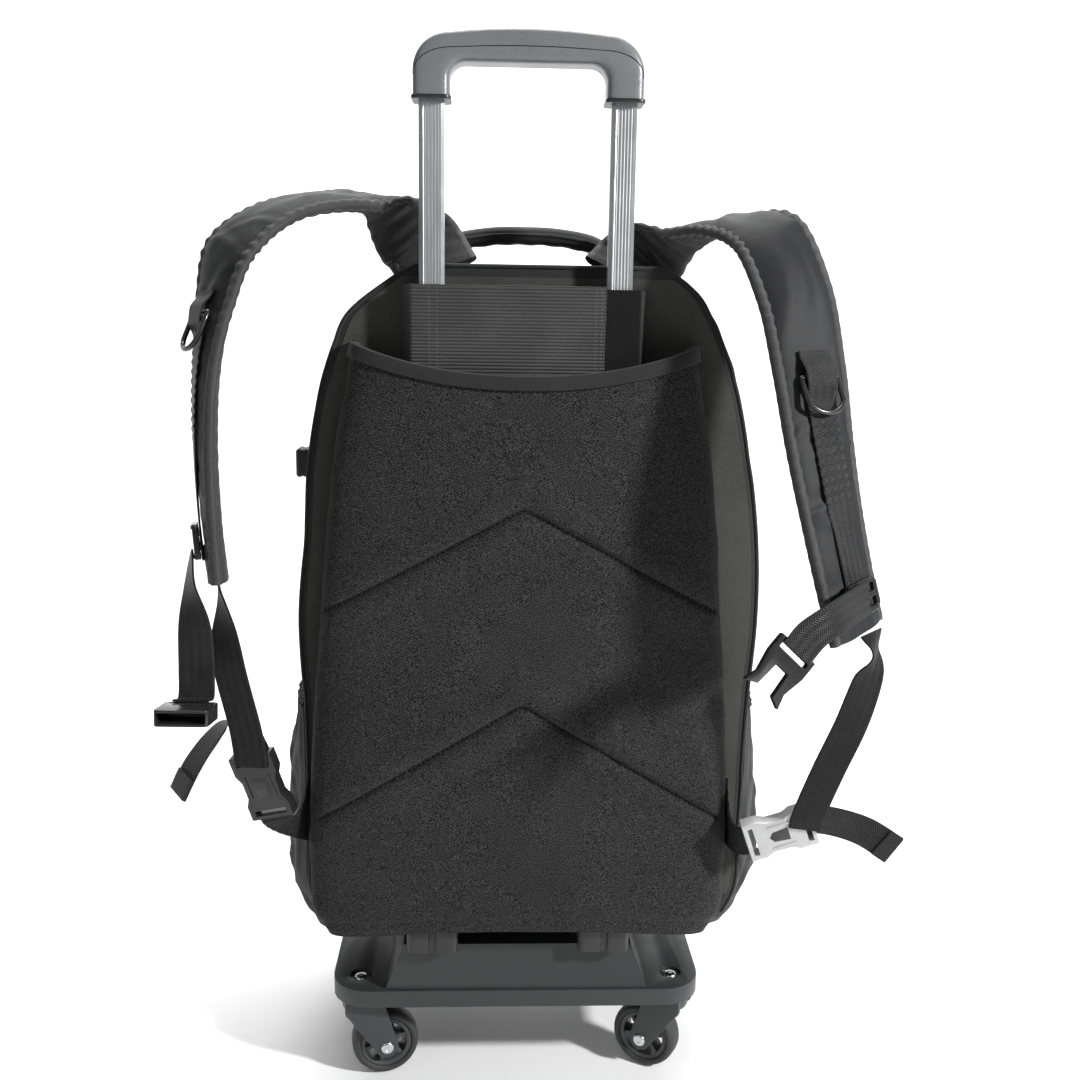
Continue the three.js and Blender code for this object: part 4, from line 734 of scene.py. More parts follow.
def bag_contour(y, steps=170):
    """The bag's outline in the upright plane at y, from the left side over the top to the right."""
    left, right, front = bag_reach(zip_steps)
    past = np.maximum(y - (front - FRONT_CORNER), 0)
    bend = FRONT_CORNER - np.sqrt(np.maximum(FRONT_CORNER ** 2 - past ** 2, 0))
    on = past < FRONT_CORNER
    height = BAG_LOW + zip_steps * BAG_HEIGHT
    rising = np.stack([left + bend, height], -1)[on]
    falling = np.stack([right - bend, height], -1)[on][::-1]
    line = np.concatenate([rising, falling])
    way = np.concatenate([[0], np.cumsum(np.linalg.norm(np.diff(line, axis=0), axis=-1))])
    even = np.linspace(0, way[-1], steps)
    across, up = (np.interp(even, way, line[:, k]) for k in (0, 1))
    return np.stack([across, np.full(steps, y), up], -1)


def facing(grid):
    """Directions square to a grid of points, by the cross product of its two slopes."""
    return unit(np.cross(np.gradient(grid, axis=0), np.gradient(grid, axis=1)))


def soften(grid, rounds, axis=0):
    """Evens out a grid along one axis, by averaging each row with its neighbours."""
    rows = np.moveaxis(grid, axis, 0)
    for _ in range(rounds):
        middle = rows[1:-1] / 2 + (rows[2:] + rows[:-2]) / 4
        rows = np.concatenate([rows[:1], middle, rows[-1:]])
    return np.moveaxis(rows, 0, axis)


def slab(grid, heights, floor=0.3):
    """A sheet on a grid: its face at the given heights over it, its back at the floor height."""
    out = facing(grid)
    face = grid + out * heights[..., None]
    back = grid + out * floor
    return sheet_of(np.concatenate([face, back[:, ::-1]], 1))


zip_across = np.concatenate([[-14], np.linspace(-13.4, -2.6, 9), [-2.2]])
zip_across = np.concatenate([zip_across, -zip_across[::-1]])
zip_bed = soften(np.stack([bag_contour(ZIP_PLANE + a) for a in zip_across], 1), 12)
bead = 1.3 + 0.9 * np.exp(-((np.abs(zip_across) - 5) / 2.4) ** 2)
bead[[0, 10, 11, -1]] = 0.7
flaps = slab(zip_bed, bead + np.zeros(zip_bed.shape[:2]))
piece("zip_flaps", [flaps], zip_tape, "pack", ["zip_tape"], crease=50)
coil_line = zip_bed[:, 10:12].mean(1) + facing(zip_bed)[:, 10] * 0.9
ridges = np.linspace(0, len(coil_line) - 1, 1500)
coil_path = np.stack([np.interp(ridges, np.arange(len(coil_line)), coil_line[:, k]) for k in range(3)], -1)
coil = cord_round(coil_path, 1.45, [0.02, 1, 0.03], sides=8)
piece("zip_coil", [coil], zip_coil)
eased("zip_slider", "zip_puller", steel, 0.8)

# Back panel. A padded pocket of flecked mesh over foam that covers the handle's tubes. It is sewn
# to the bag along its sides, quilted along two chevrons, and its open top edge is bound in tape.
PANEL_HALF, PANEL_RISE, PANEL_HEIGHT, PANEL_CORNERS, PANEL_SAG, FOAM = 161, 33, 423, 22, 9, 5.5
PANEL_SEAT, PANEL_FOOT = 11.7, 146.7
# Height as a share of the panel's, half width as a share of the widest
PANEL_WIDTHS = np.array([(0, 0.93), (0.04, 0.985), (0.12, 1), (0.25, 0.995), (0.4, 0.97), (0.57, 0.93),
                         (0.7, 0.9), (0.82, 0.86), (0.92, 0.81), (1, 0.775)])
# Each chevron's peak height, the slope of its arms and their half width
CHEVRONS = ((474, 0.54, 147), (326.6, 0.61, 154))


def panel_surface(x, share):
    """The panel's face at x from -1 to 1 across and a share of its height, without its quilting.

    It stands 33 mm proud as y = (1 - |x|^5)^(1/4), less a little in the middle, between its edges,
    and its corners rise and its hem sags as |x|^2.2.
    """
    x, share = np.broadcast_arrays(x, share)
    half = PANEL_HALF * reading(PANEL_WIDTHS, share.ravel()).reshape(share.shape)
    crown = (1 - np.abs(x).clip(0, 1) ** 5) ** 0.25 * (1 - 0.1 * x ** 2 * (1 - x ** 4))
    curl = np.abs(x) ** 2.2
    low = PANEL_FOOT - PANEL_SAG * curl
    high = PANEL_FOOT + PANEL_HEIGHT + PANEL_CORNERS * curl
    return np.stack([x * half, PANEL_SEAT - PANEL_RISE * crown, low + share * (high - low)], -1)


def quilting(points, x, share):
    """How far the face sinks at its seams and swells between them, in millimetres."""
    relief = np.zeros(points.shape[:2])
    for peak, slope, reach in CHEVRONS:
        run = np.sqrt(points[..., 0] ** 2 + 9)
        off = (points[..., 2] - (peak - slope * (run - 3))) / np.hypot(1, slope)
        inside = np.clip((reach - run) / 6, 0, 1)
        relief += inside * (1.7 * np.exp(-((np.abs(off) - 11) / 9) ** 2) - 2.9 * np.exp(-(off / 1.9) ** 2))
    edge = np.minimum(np.minimum(share, 1 - share) * PANEL_HEIGHT, 400)
    relief -= 2.2 * np.exp(-((edge - 9) / 2.2) ** 2) * (share < 0.5) + 1.5 * np.exp(-(edge / 8) ** 2)
    return relief


fine = np.cos(np.linspace(np.pi, 0, 4000))
line = panel_surface(fine, np.full(4000, 0.12))
way = np.concatenate([[0], np.cumsum(np.linalg.norm(np.diff(line, axis=0), axis=-1))])
panel_x = np.interp(np.linspace(0, way[-1], 230), way, fine)[None, :]
panel_share = np.linspace(0, 1, 250)[:, None]
panel_x, panel_share = np.broadcast_arrays(panel_x, panel_share)
panel_base = panel_surface(panel_x, panel_share)
dents = scattered(46, (-150, 150), (160, 590), (-40, 40), (40, 110), (9, 20), (-0.5, 0.6))
panel_relief = quilting(panel_base, panel_x, panel_share)
panel_relief = panel_relief + creased(panel_base[..., 0], panel_base[..., 2], dents)
side_marks = scattered(50, (-170, 170), (150, 590), (-25, 25), (8, 22), (4, 7), (0.3, 1.0))
at_sides = np.clip((np.abs(panel_x) - 0.86) / 0.1, 0, 1)
panel_relief += creased(panel_base[..., 0], panel_base[..., 2], side_marks) * at_sides
panel_out = facing(panel_base)
panel_out *= np.sign(-panel_out[125, 115, 1])
panel_face = panel_base + panel_out * panel_relief[..., None]
tucked = panel_face - panel_out * 3.0
panel_skin = np.concatenate([tucked[:1], panel_face, tucked[-1:]])
panel_skin = np.concatenate([np.concatenate([tucked[:1, :1], tucked[:, :1], tucked[-1:, :1]]), panel_skin,
                             np.concatenate([tucked[:1, -1:], tucked[:, -1:], tucked[-1:, -1:]])], 1)
coarse_rows, coarse_columns = np.linspace(0, 249, 70).astype(int), np.linspace(0, 229, 80).astype(int)
pick = np.ix_(coarse_rows, coarse_columns)


def flecked_mesh(name):
    """Herringbone air mesh with its quilting seams drawn in: each seam's groove is darkened with painted
    shade, and its row of stitches is lightened with painted highlights.

    A chevron's seam is where z = peak - slope (sqrt(x^2 + 9) - 3), as far as its reach.
    """
    finish = Finish(name, "mesh")
    across, along = finish.cloth_place()
    zigzag = across.math("PINGPONG", across, 2.6)
    rows = (along + zigzag * 0.8).wave(2.0)
    cells = across.wave(1.3) * (along - zigzag * 0.8).wave(1.0)
    knit = rows * 0.55 + cells * 0.45
    x, _, z = finish.node("ShaderNodeSeparateXYZ", {}, (finish.place(),))
    x, z = x * 1000 - 1000 * MIDLINE[0], z * 1000
    run = (x * x + 9) ** 0.5
    seam = 0.0
    for peak, slope, reach in CHEVRONS:
        off = abs(z - peak + (run - 3) * slope) / float(np.hypot(1, slope))
        seam = (1 - off.between(0.7, 1.7)) * (1 - run.between(reach - 3, reach)) + seam
    stitches = seam * x.wave(3.6).between(-0.1, 0.5)
    fleck, blotch = finish.noise(0.85, 1.0), finish.noise(70, 3.0)
    # The seams darken the tone as painted shade in their grooves; the stitches lighten it as painted
    # highlights on the thread.
    tone = 0.5 + (fleck - 0.5) * 3.0 + (blotch - 0.5) * 0.3 + knit * 0.34 - seam * 0.55 + stitches * 0.3
    colour = finish.mix(tone.between(0.0, 1.1), (0.0015, 0.0015, 0.0016), (0.048, 0.048, 0.049))
    relief = knit * 0.14 + fleck * 0.12 + finish.noise(5, 3.0) * 0.15 - seam * 0.9 + stitches * 0.5
    return finish.dress(colour, 0.88, relief, Sheen_Weight=0.05, Specular_IOR_Level=0.15)


panel_mesh = flecked_mesh("panel_mesh")
back = panel_base - panel_out * FOAM
core = np.concatenate([(panel_base - panel_out * 1.6)[pick], back[pick][:, ::-1]], 1)
panel = piece("panel", [patch(panel_skin), sheet_of(core)], panel_mesh, "pack", ["back_panel"],
              crease=75)

top = panel_base[-1]
top_in = -panel_out[-1]
top_down = unit(panel_base[-12] - panel_base[-1])
# The folded tape's outline across the edge: millimetres behind the face and below the top
fold = np.array([(-1.4, 9.2), (-1.9, 8.6), (-1.8, 5), (-1.7, 1.5), (-1.0, -0.6), (0.8, -1.3), (3.5, -1.35),
                 (5.8, -0.7), (7.0, 1.5), (7.1, 8.6), (6.4, 9.2), (6.0, 8.6), (6.0, 1.4), (5.0, 0.4),
                 (0.5, 0.4), (-0.7, 1.4), (-0.8, 8.6)])
pucker = 0.35 * np.sin(np.arange(len(top)) * 2.1) * (fold[:, 1, None] > 4)
hem = fold[None, :, 1:] + pucker.T[..., None]
binding = top[:, None] + top_in[:, None] * fold[None, :, :1] + top_down[:, None] * hem
piece("panel_edge_binding", [solid(binding)], binding_cloth, "pack", ["panel_binding"])

# Elastic band. A wide ribbed elastic passes over both tubes above the panel's edge, is sewn to the
# bag beside them, and is closed over the right tube by a black hook-and-loop tab.
BAND_LOW, BAND_TOP, BAND_SEAM = 541.7, 633.7, 57.0
bend = np.radians(np.linspace(90, 0, 9))
band_side = np.concatenate([np.stack([80.2 + 1.7 * np.sin(np.pi / 2 - bend), -7.4 - 1.7 * np.sin(bend)], -1),
                            [[82.6, -3], [84.6, 3], [86.4, 8], [87.4, 11.4]]])


def band_bed(side, seam, low, high, rows):
    """The band's face, from its seam round the tube to the bag, as heights by places."""
    front = np.stack([np.linspace(seam, 79.5, 70), np.full(70, -9.1)], -1)
    line = np.concatenate([front, band_side]) * [side, 1]
    z = np.linspace(low, high, rows)[:, None]
    return np.stack(np.broadcast_arrays(line[:, 0], line[:, 1], z), -1)


def ribbed_elastic(name):
    """Woven elastic: fine cross ribs of covered rubber, with two columns of dotted stitches."""
    finish = Finish(name, "webbing")
    x, _, z = finish.node("ShaderNodeSeparateXYZ", {}, (finish.place(),))
    x, z = x * 1000 - 1000 * MIDLINE[0], z * 1000
    yarn, wear = finish.noise(0.5, 2.0, (3, 1, 1)), finish.noise(30, 3.0)
    stitches = 0.0
    for column in (-63.0, -68.5, 49.5, 53.5):
        near = 1 - abs(x - column).between(0.5, 0.9)
        stitches = near * z.wave(3.2).between(-0.2, 0.3) + stitches
    tone = yarn * 0.6 + wear * 0.4 + z.wave(2.42) * 0.18 + stitches * 0.25
    colour = finish.mix(tone.between(0.15, 1.0), (0.009, 0.009, 0.009), (0.06, 0.06, 0.06))
    return finish.dress(colour, 0.72, yarn * 0.12 + x.wave(0.7) * 0.05 + stitches * 0.25, Sheen_Weight=0.1)


elastic = ribbed_elastic("ribbed_elastic")
bed = band_bed(-1, -56.7, BAND_LOW, BAND_TOP, 230)
ribs = 0.35 * np.cos(2 * np.pi * (bed[..., 2] - BAND_LOW) / 2.42) + 0.75
ribs[[0, -1]] = 0.5
piece("elastic_band", [slab(bed, ribs, -0.75)], elastic, "pack", ["tube_band"], crease=60)
fuzz = woven("hook_and_loop", "binding", (0.0045, 0.0045, 0.0045), 1.6, 0.95, 0.3, 0.8, 0.3, 0.1)
bed = band_bed(1, BAND_SEAM + 0.5, BAND_LOW, BAND_TOP - 2, 60)
sewn_line = np.exp(-((bed[..., 0] - 61) / 0.9) ** 2)
fur = 0.9 + 0.2 * np.sin(bed[..., 0] * 3.1) * np.sin(bed[..., 2] * 2.3) - 0.7 * sewn_line
piece("hook_and_loop_tab", [slab(bed, fur, -0.7)], fuzz, "pack", ["hook_loop_tab"], crease=60)

# Side pockets. Each is a gathered pouch of the bag's cloth, sewn on at its front, back and foot,
# with an elastic rim that draws it in.
POCKET_HEIGHT, POCKET_DROOP, POCKET_BULGE, POCKET_UNDERCUT = 173, 38, 19, 44
POCKET_START, POCKET_LENGTH = 10, 128
# A hoop down the pocket's middle: how far it stands out and its height, as shares
POCKET_HOOPS = np.array([(0.35, 1), (0.8, 0.7), (1, 0.42), (0.95, 0.1), (0.6, -0.35), (-0.1, -0.8),
                         (-0.5, -1), (-0.9, -0.9), (-1, -0.5), (-1, 0)])


def through(rows, shares):
    """A table's rows at shares of its length, on cubics that pass through every row.

    Between rows b and c, with a before and d after: b + (c - a) f / 2 + (2a - 5b + 4c - d) f^2 / 2
    + (3b - 3c + d - a) f^3 / 2.
    """
    rows = np.concatenate([[2 * rows[0] - rows[1]], rows, [2 * rows[-1] - rows[-2]]])
    reach = np.clip(shares, 0, 1) * (len(rows) - 3)
    i = np.minimum(reach.astype(int), len(rows) - 4)
    f = (reach - i)[:, None]
    a, b, c, d = (rows[i + k] for k in range(4))
    return b + ((c - a) * f + (2 * a - 5 * b + 4 * c - d) * f ** 2 + (3 * b - 3 * c + d - a) * f ** 3) / 2


pocket_cloth = woven("pocket_cloth", "nylon", (0.022, 0.022, 0.023), 0.7, 0.66, 0.07, 0.4, 0.3)
for name, side in (("left", -1), ("right", 1)):
    hoop = through(POCKET_HOOPS, np.linspace(0, 1, 90) ** 1.1)
    across = np.linspace(-1, 1, 110)[None, :]
    out, up = hoop[:, :1], hoop[:, 1:]
    fullness = 1 - np.abs(across) ** 3
    z = BAG_LOW + np.where(up > 0, up * POCKET_HEIGHT, up * POCKET_DROOP * fullness)
    stand = np.where(out > 0, out * POCKET_BULGE * fullness, out * POCKET_UNDERCUT)
    share = (np.maximum(z, BAG_LOW) - BAG_LOW) / BAG_HEIGHT
    reach = reading(BAG_SECTIONS, share.ravel()).reshape(*share.shape, 3)[..., 0 if side < 0 else 1]
    x = side * (reach * (BAG_LEFT if side < 0 else BAG_RIGHT) + 0.9 + stand)
    y = BACK + POCKET_START + POCKET_LENGTH * (across + 1) / 2
    pouch = np.stack(np.broadcast_arrays(x, y, z), -1)
    drawn = np.exp(-(np.linspace(0, 1, 90)[:, None] / 0.1)) * (np.abs(across) < 0.93)
    gathers = 1.3 * drawn * np.sin(2 * np.pi * y / 9 + 1.2 * np.sin(y / 11))
    marks = np.concatenate([
        scattered(40, (22, 150), (110, 320), (60, 120), (20, 60), (3.5, 7), (0.6, 1.8)),
        scattered(25, (22, 150), (110, 190), (-30, 30), (18, 45), (4, 7), (0.6, 1.8)),
    ])
    folds = creased(y + 0 * z, z + 0 * y, marks) * np.clip(1 - np.abs(across) ** 8, 0, 1)
    turn = side * np.sign(facing(pouch)[30, 50, 0])
    heights = (1.6 + gathers + folds) * np.ones(pouch.shape[:2])
    pouch_side = facing(pouch) * turn
    face, back = pouch + pouch_side * heights[..., None], pouch + pouch_side * (heights - 1.2)[..., None]
    piece(f"pocket_{name}", [sheet_of(np.concatenate([face, back[:, ::-1]], 1))], pocket_cloth,
          "pack", [f"side_pocket_{name}"], crease=60)
    rim = soften(face[1] - pouch_side[1] * 0.6, 1)
    wavy = 2.0 + 0.35 * np.sin(2 * np.pi * y[0] / 4.5)
    tube = cord_round(rim, wavy[:, None, None], [0.1, 0.05, 1])
    piece(f"pocket_rim_{name}", [tube], binding_cloth)

# Charging port. A rubbery flap on the bag's left side carries a small moulded block, ribbed for
# grip, whose cover hides the socket.
port_rubber = moulded("port_rubber", "black_plastic", (0.02, 0.02, 0.021), 0.55)
z = np.linspace(485, 561, 20)[:, None]
reach = reading(BAG_SECTIONS, ((z - BAG_LOW) / BAG_HEIGHT).ravel())[:, :1] * BAG_LEFT
flap = np.stack(np.broadcast_arrays(-reach - 0.6, np.linspace(30, 60, 16)[None, :], z), -1)
swell_up, swell_across = (np.sin(np.linspace(0, np.pi, steps)) for steps in (20, 16))
rounded = 1.6 + 0.5 * swell_up[:, None] * swell_across[None, :] ** 0.3
turn = -np.sign(facing(flap)[5, 5, 0])
flap_out = facing(flap) * turn
flap_slab = np.concatenate([flap + flap_out * rounded[..., None], (flap + flap_out * 0.3)[:, ::-1]], 1)
block_outline = oblong(11, 11, 2.5, x=45, y=501)
block_x = np.array([-154.6, -156, -158.5, -161, -163.5, -166, -168.5, -170.0, -171.0])
block = np.stack([np.column_stack([np.full(len(block_outline), bx), inset(block_outline, d)])
                  for bx, d in zip(block_x, [0, 0, 0, 0.9, 0, 0.9, 0, 0.6, 2.0])])
piece("charging_block", [sheet_of(flap_slab), solid(block)], port_rubber, "pack",
      ["charging_port"], crease=40)

# Haul handle. A padded arch of the bag's cloth, piped along both edges, its ends sewn into the
# bag's top.
HAUL_ARCH = np.array([(-1, -0.3), (-0.99, 0.3), (-0.8, 0.75), (-0.4, 0.96), (0, 1), (0.4, 0.96), (0.8, 0.75),
                      (0.99, 0.3), (1, -0.3)])
HAUL_HALF, HAUL_RISE, HAUL_WIDTH, HAUL_THICK, HAUL_Y, BAG_TOP = 66, 25, 26, 13.4, 71, 647.7
arch_line = through(HAUL_ARCH, np.linspace(0, 1, 120)) * [HAUL_HALF, HAUL_RISE]
arch_path = np.stack([arch_line[:, 0], np.full(120, float(HAUL_Y)), BAG_TOP + arch_line[:, 1]], -1)
arch_run = unit(np.gradient(arch_path, axis=0))
arch_out = np.stack([-arch_run[:, 2], 0 * arch_run[:, 2], arch_run[:, 0]], -1)
turn = np.linspace(0, 2 * np.pi, 48, endpoint=False)
lobe = np.stack([np.sign(np.cos(turn)) * np.abs(np.cos(turn)) ** 0.75 * HAUL_WIDTH / 2,
                 np.sign(np.sin(turn)) * np.abs(np.sin(turn)) ** 0.7 * HAUL_THICK / 2], -1)
sewn_ends = np.clip(np.minimum(np.arange(120), np.arange(120)[::-1]) / 22, 0.25, 1)
wrinkle = 1 + 0.05 * np.sin(np.linspace(0, 1, 120) * 75)[:, None] * (np.sin(turn) < -0.2)
section = lobe[None] * np.stack([np.ones((120, 48)), sewn_ends[:, None] ** 0.7 * wrinkle], -1)
arch_across = np.broadcast_to([0.0, 1, 0], arch_path.shape)
haul = piece("haul_grip", [solid(carried(arch_path, arch_across, arch_out, section))], bag_cloth, "pack",
             ["haul_handle"], crease=60)
piping = [cord_round(arch_path + [0, k * (HAUL_WIDTH / 2 - 0.2), 0], 1.5, [0, 1, 0.02]) for k in (-1, 1)]
piece("haul_piping", piping, binding_cloth)

# Shoulder straps. Each is foam faced with smooth charcoal nylon, lined with spacer mesh and bound
# along both edges; it leaves the bag's top behind the haul handle and hangs in a free arch.
STRAP_REACH, STRAP_FORWARD, STRAP_DROP, STRAP_WIDTH, STRAP_THICK = 235, 86, 245, 59, 13
# A route's rows: sideways, forwards and upwards as shares of the sizes above, then the turn and the
# tilt of the width, in degrees
STRAP_ROUTES = {
    "right": np.array([
        (0.285, -0.37, -0.05, 1, -4), (0.375, -0.52, 0.033, 5, 6), (0.477, -0.45, 0.11, 14, 11),
        (0.613, -0.15, 0.155, 20, 13), (0.715, 0.23, 0.118, 23, 20), (0.787, 0.535, -0.06, 24, 18),
        (0.826, 0.733, -0.265, 25.5, 11), (0.857, 0.872, -0.465, 29, 4), (0.898, 0.942, -0.657, 33, -3),
        (0.945, 0.988, -0.845, 35, -8), (0.991, 1, -1, 36, -12),
    ]),
    "left": np.array([
        (0.26, -0.37, -0.04, 2, -5), (0.34, -0.55, 0.082, 14, 11), (0.451, -0.49, 0.2, 32, 14),
        (0.6, -0.2, 0.204, 46, 8), (0.757, 0.105, 0.155, 50, 8), (0.874, 0.36, 0.045, 50, 11),
        (0.923, 0.477, -0.122, 59, 9), (0.943, 0.593, -0.31, 70, 3), (0.945, 0.686, -0.506, 74, 1),
        (0.936, 0.733, -0.702, 76, 0), (0.919, 0.767, -0.88, 79, -1),
    ]),
}
SIDES = {"left": -1, "right": 1}


def frames_on(rows, shares, side):
    """Place, run, across and out at each share of a route; out is run x across, turned outwards."""
    shares = np.atleast_1d(shares).astype(float)
    scale = np.array([side * STRAP_REACH, -STRAP_FORWARD, STRAP_DROP])
    read = through(rows, shares)
    run = unit((through(rows, shares + 0.01) - through(rows, shares - 0.01))[:, :3] * scale)
    turn, tilt = np.radians(read[:, 3:].T)
    across = np.stack([side * np.cos(tilt) * np.cos(turn), np.cos(tilt) * np.sin(turn), np.sin(tilt)], -1)
    across = unit(across - run * (across * run).sum(-1, keepdims=True))
    return read[:, :3] * scale + [0, 0, BAG_TOP], run, across, side * np.cross(run, across)


strap_nylon = woven("strap_nylon", "smooth_nylon", (0.012, 0.0124, 0.0135), 0.5, 0.44, 0.025, 0.12, 0.2, 0.05)
spacer_mesh = woven("spacer_mesh", "mesh", (0.02, 0.02, 0.02), 1.9, 0.85, 0.3, 0.5, 0.2)


def strap_tape(name):
    """Strap binding: ribbed tape with a zigzag stitch that runs along it."""
    finish = Finish(name, "binding")
    across, along = finish.cloth_place()
    zigzag = along.math("PINGPONG", along, 1.6)
    stitch = 1 - abs(across - zigzag * 1.2 - 5.0).between(0.25, 0.6)
    yarn, wear = finish.noise(0.6, 2.0), finish.noise(25, 3.0)
    tone = yarn * 0.5 + wear * 0.4 + along.wave(1.1) * 0.12 + stitch * 0.3
    colour = finish.mix(tone.between(0.1, 1.1), (0.009, 0.009, 0.009), (0.05, 0.05, 0.05))
    return finish.dress(colour, 0.6, along.wave(1.1) * 0.1 + stitch * 0.25 + yarn * 0.08, Sheen_Weight=0.1)


strap_edging = strap_tape("strap_edging")
strap_shares = np.linspace(0, 1, 260)
half_section = np.sin(np.linspace(-np.pi / 2, np.pi / 2, 34))
strap_a = np.concatenate([half_section, half_section[::-1][1:-1]])
strap_crown = 0.5 - 0.5 * np.abs(half_section) ** 3.4
strap_h = np.concatenate([strap_crown, -strap_crown[::-1][1:-1]])
for name, side in SIDES.items():
    place, run, across, out = frames_on(STRAP_ROUTES[name], strap_shares, side)
    length = np.concatenate([[0], np.cumsum(np.linalg.norm(np.diff(place, axis=0), axis=-1))])
    bend = np.concatenate([[0], np.linalg.norm(np.diff(run, axis=0), axis=-1) / np.diff(length)]) * 60
    bend = soften(bend[:, None], 20)[:, 0].clip(0, 1.3)
    s, a, h = length[:, None], strap_a[None, :] * STRAP_WIDTH / 2, strap_h[None, :]
    marks = np.concatenate([
        scattered(26, (0, length[-1]), (-26, 26), (60, 120), (12, 30), (3, 6), (0.3, 1.0)),
        scattered(12, (0, length[-1]), (-20, 20), (-25, 25), (25, 60), (4, 8), (0.3, 0.9)),
    ])
    face = creased(s + 0 * a, a + 0 * s, marks) * (h > 0.05)
    ruck = 1.5 * bend[:, None] * np.sin(2 * np.pi * s / 12 + 0.8 * np.sin(s / 17))
    under = ruck * (h < -0.05) * (1 - strap_a ** 4)
    puff = 1 + 0.05 * np.sin(s / 23) * np.abs(h) ** 0.5
    section = np.stack(np.broadcast_arrays(a, (h * puff - 0.5) * STRAP_THICK + face - under), -1)
    body = piece(f"strap_{name}", [sheet_of(carried(place, across, out, section))], strap_nylon,
                 "pack", [f"shoulder_strap_{name}"], crease=60)
    lining_a = np.linspace(-0.86, 0.86, 24)
    lining_h = (-1.0 + 0.5 * np.abs(lining_a) ** 3.4) * STRAP_THICK
    lining_under = ruck * (1 - lining_a ** 4)
    lower = np.stack(np.broadcast_arrays(lining_a * STRAP_WIDTH / 2, lining_h - lining_under - 0.7), -1)
    upper = lower + [0, 1.2]
    lining = np.concatenate([lower, upper[:, ::-1]], 1)
    piece(f"strap_lining_{name}", [sheet_of(carried(place, across, out, lining))], spacer_mesh,
          crease=60)
    edging = []
    for edge in (-1, 1):
        angle = np.radians(np.arange(0, 360, 18))
        scallop = 1 + (0.05 + 0.16 * bend[:, None]) * np.sin(2 * np.pi * s / 9.5)
        lobe_a = edge * (STRAP_WIDTH / 2 - 3.9 + 4.4 * np.cos(angle)) + 0 * s
        lobe_h = -STRAP_THICK / 2 + 3.9 * np.sign(np.sin(angle)) * np.abs(np.sin(angle)) ** 0.8 * scallop
        lobe = np.stack([lobe_a, lobe_h], -1)
        edging.append(solid(carried(place, across, out, lobe)))
    piece(f"strap_edging_{name}", edging, strap_edging, crease=60)

# Strap hardware. Nylon webbing is sewn down each strap, over the bar of a D-ring that swings on it,
# to a moulded ladder lock at the strap's foot.
RING_SHARE, LOCK_SHARE, WEBBING_WIDTH, WEBBING, RING_WIRE, RING_LIFT = 0.617, 0.935, 25, 1.5, 3.6, 2.2
STRAP_LENGTH = STRAP_DROP + 0.85 * STRAP_REACH
gloss_plastic = moulded("gloss_plastic", "black_plastic", (0.018, 0.018, 0.019), 0.24, 1.4, 0.01)


def nylon_webbing(name, shade, roughness, pitch):
    """Nylon webbing: slanted ribs that turn back every few millimetres across the band."""
    finish = Finish(name, "webbing")
    across, along = finish.cloth_place()
    slant = across.math("PINGPONG", across, 3.1)
    ribs = (along + slant * 0.7).wave(pitch)
    yarn, wear = finish.noise(0.5, 2.0), finish.noise(18, 3.0)
    tone = 0.45 + ribs * 0.32 + (yarn - 0.5) * 0.8 + (wear - 0.5) * 0.5
    colour = finish.mix(tone.between(0.0, 1.0), tuple(0.25 * c for c in shade), tuple(2.3 * c for c in shade))
    return finish.dress(colour, roughness + (wear - 0.5) * 0.2, ribs * 0.24 + yarn * 0.1, Sheen_Weight=0.02,
                        Specular_IOR_Level=0.16)


shiny_webbing = nylon_webbing("shiny_webbing", (0.02, 0.02, 0.0205), 0.38, 1.7)
flat_webbing = nylon_webbing("flat_webbing", (0.0085, 0.0085, 0.0087), 0.5, 1.6)


# The outline of webbing: each point's share of the flat half width, its bulge and its height
tape_edge = arc(0, 0, WEBBING / 2, -90, 90, 6)
flat_run = np.linspace(-1, 1, 13)[1:-1]
tape_flat = np.concatenate([flat_run, np.ones(6), -flat_run, -np.ones(6)])
tape_bulge = np.concatenate([0 * flat_run, tape_edge[:, 0], 0 * flat_run, -tape_edge[:, 0]])
tape_rise = WEBBING / 2 + np.concatenate([0 * flat_run - WEBBING / 2, tape_edge[:, 1],
                                          0 * flat_run + WEBBING / 2, -tape_edge[:, 1]])


def ribbon(frames, width=WEBBING_WIDTH, lift=0.0, pucker=0.0, pitch=7.0):
    """A band of webbing with round edges, carried through frames and lifted off their face."""
    place, run, across, out = frames
    length = np.concatenate([[0], np.cumsum(np.linalg.norm(np.diff(place, axis=0), axis=-1))])[:, None]
    width, lift, pucker = (np.reshape(value, (-1, 1)) + 0 * length for value in (width, lift, pucker))
    a = tape_flat * (width - WEBBING) / 2 + tape_bulge
    h = tape_rise + lift + pucker * (1 + np.sin(2 * np.pi * length / pitch + 0.4 * np.sin(a / 3)))
    return solid(carried(place, across, out, np.stack([a, h], -1)))


def laid(points, place, lengthways, facing_out):
    """Turns points drawn flat, their length along Y and their face towards Z, into place."""
    y = unit(lengthways)
    z = unit(facing_out - y * (y @ facing_out))
    return points @ np.stack([np.cross(y, z), y, z]) + place


def turned(vector, axis, degrees):
    """A vector turned about an axis, by Rodrigues' formula."""
    c, s = np.cos(np.radians(degrees)), np.sin(np.radians(degrees))
    return vector * c + np.cross(axis, vector) * s + axis * (axis @ vector) * (1 - c)


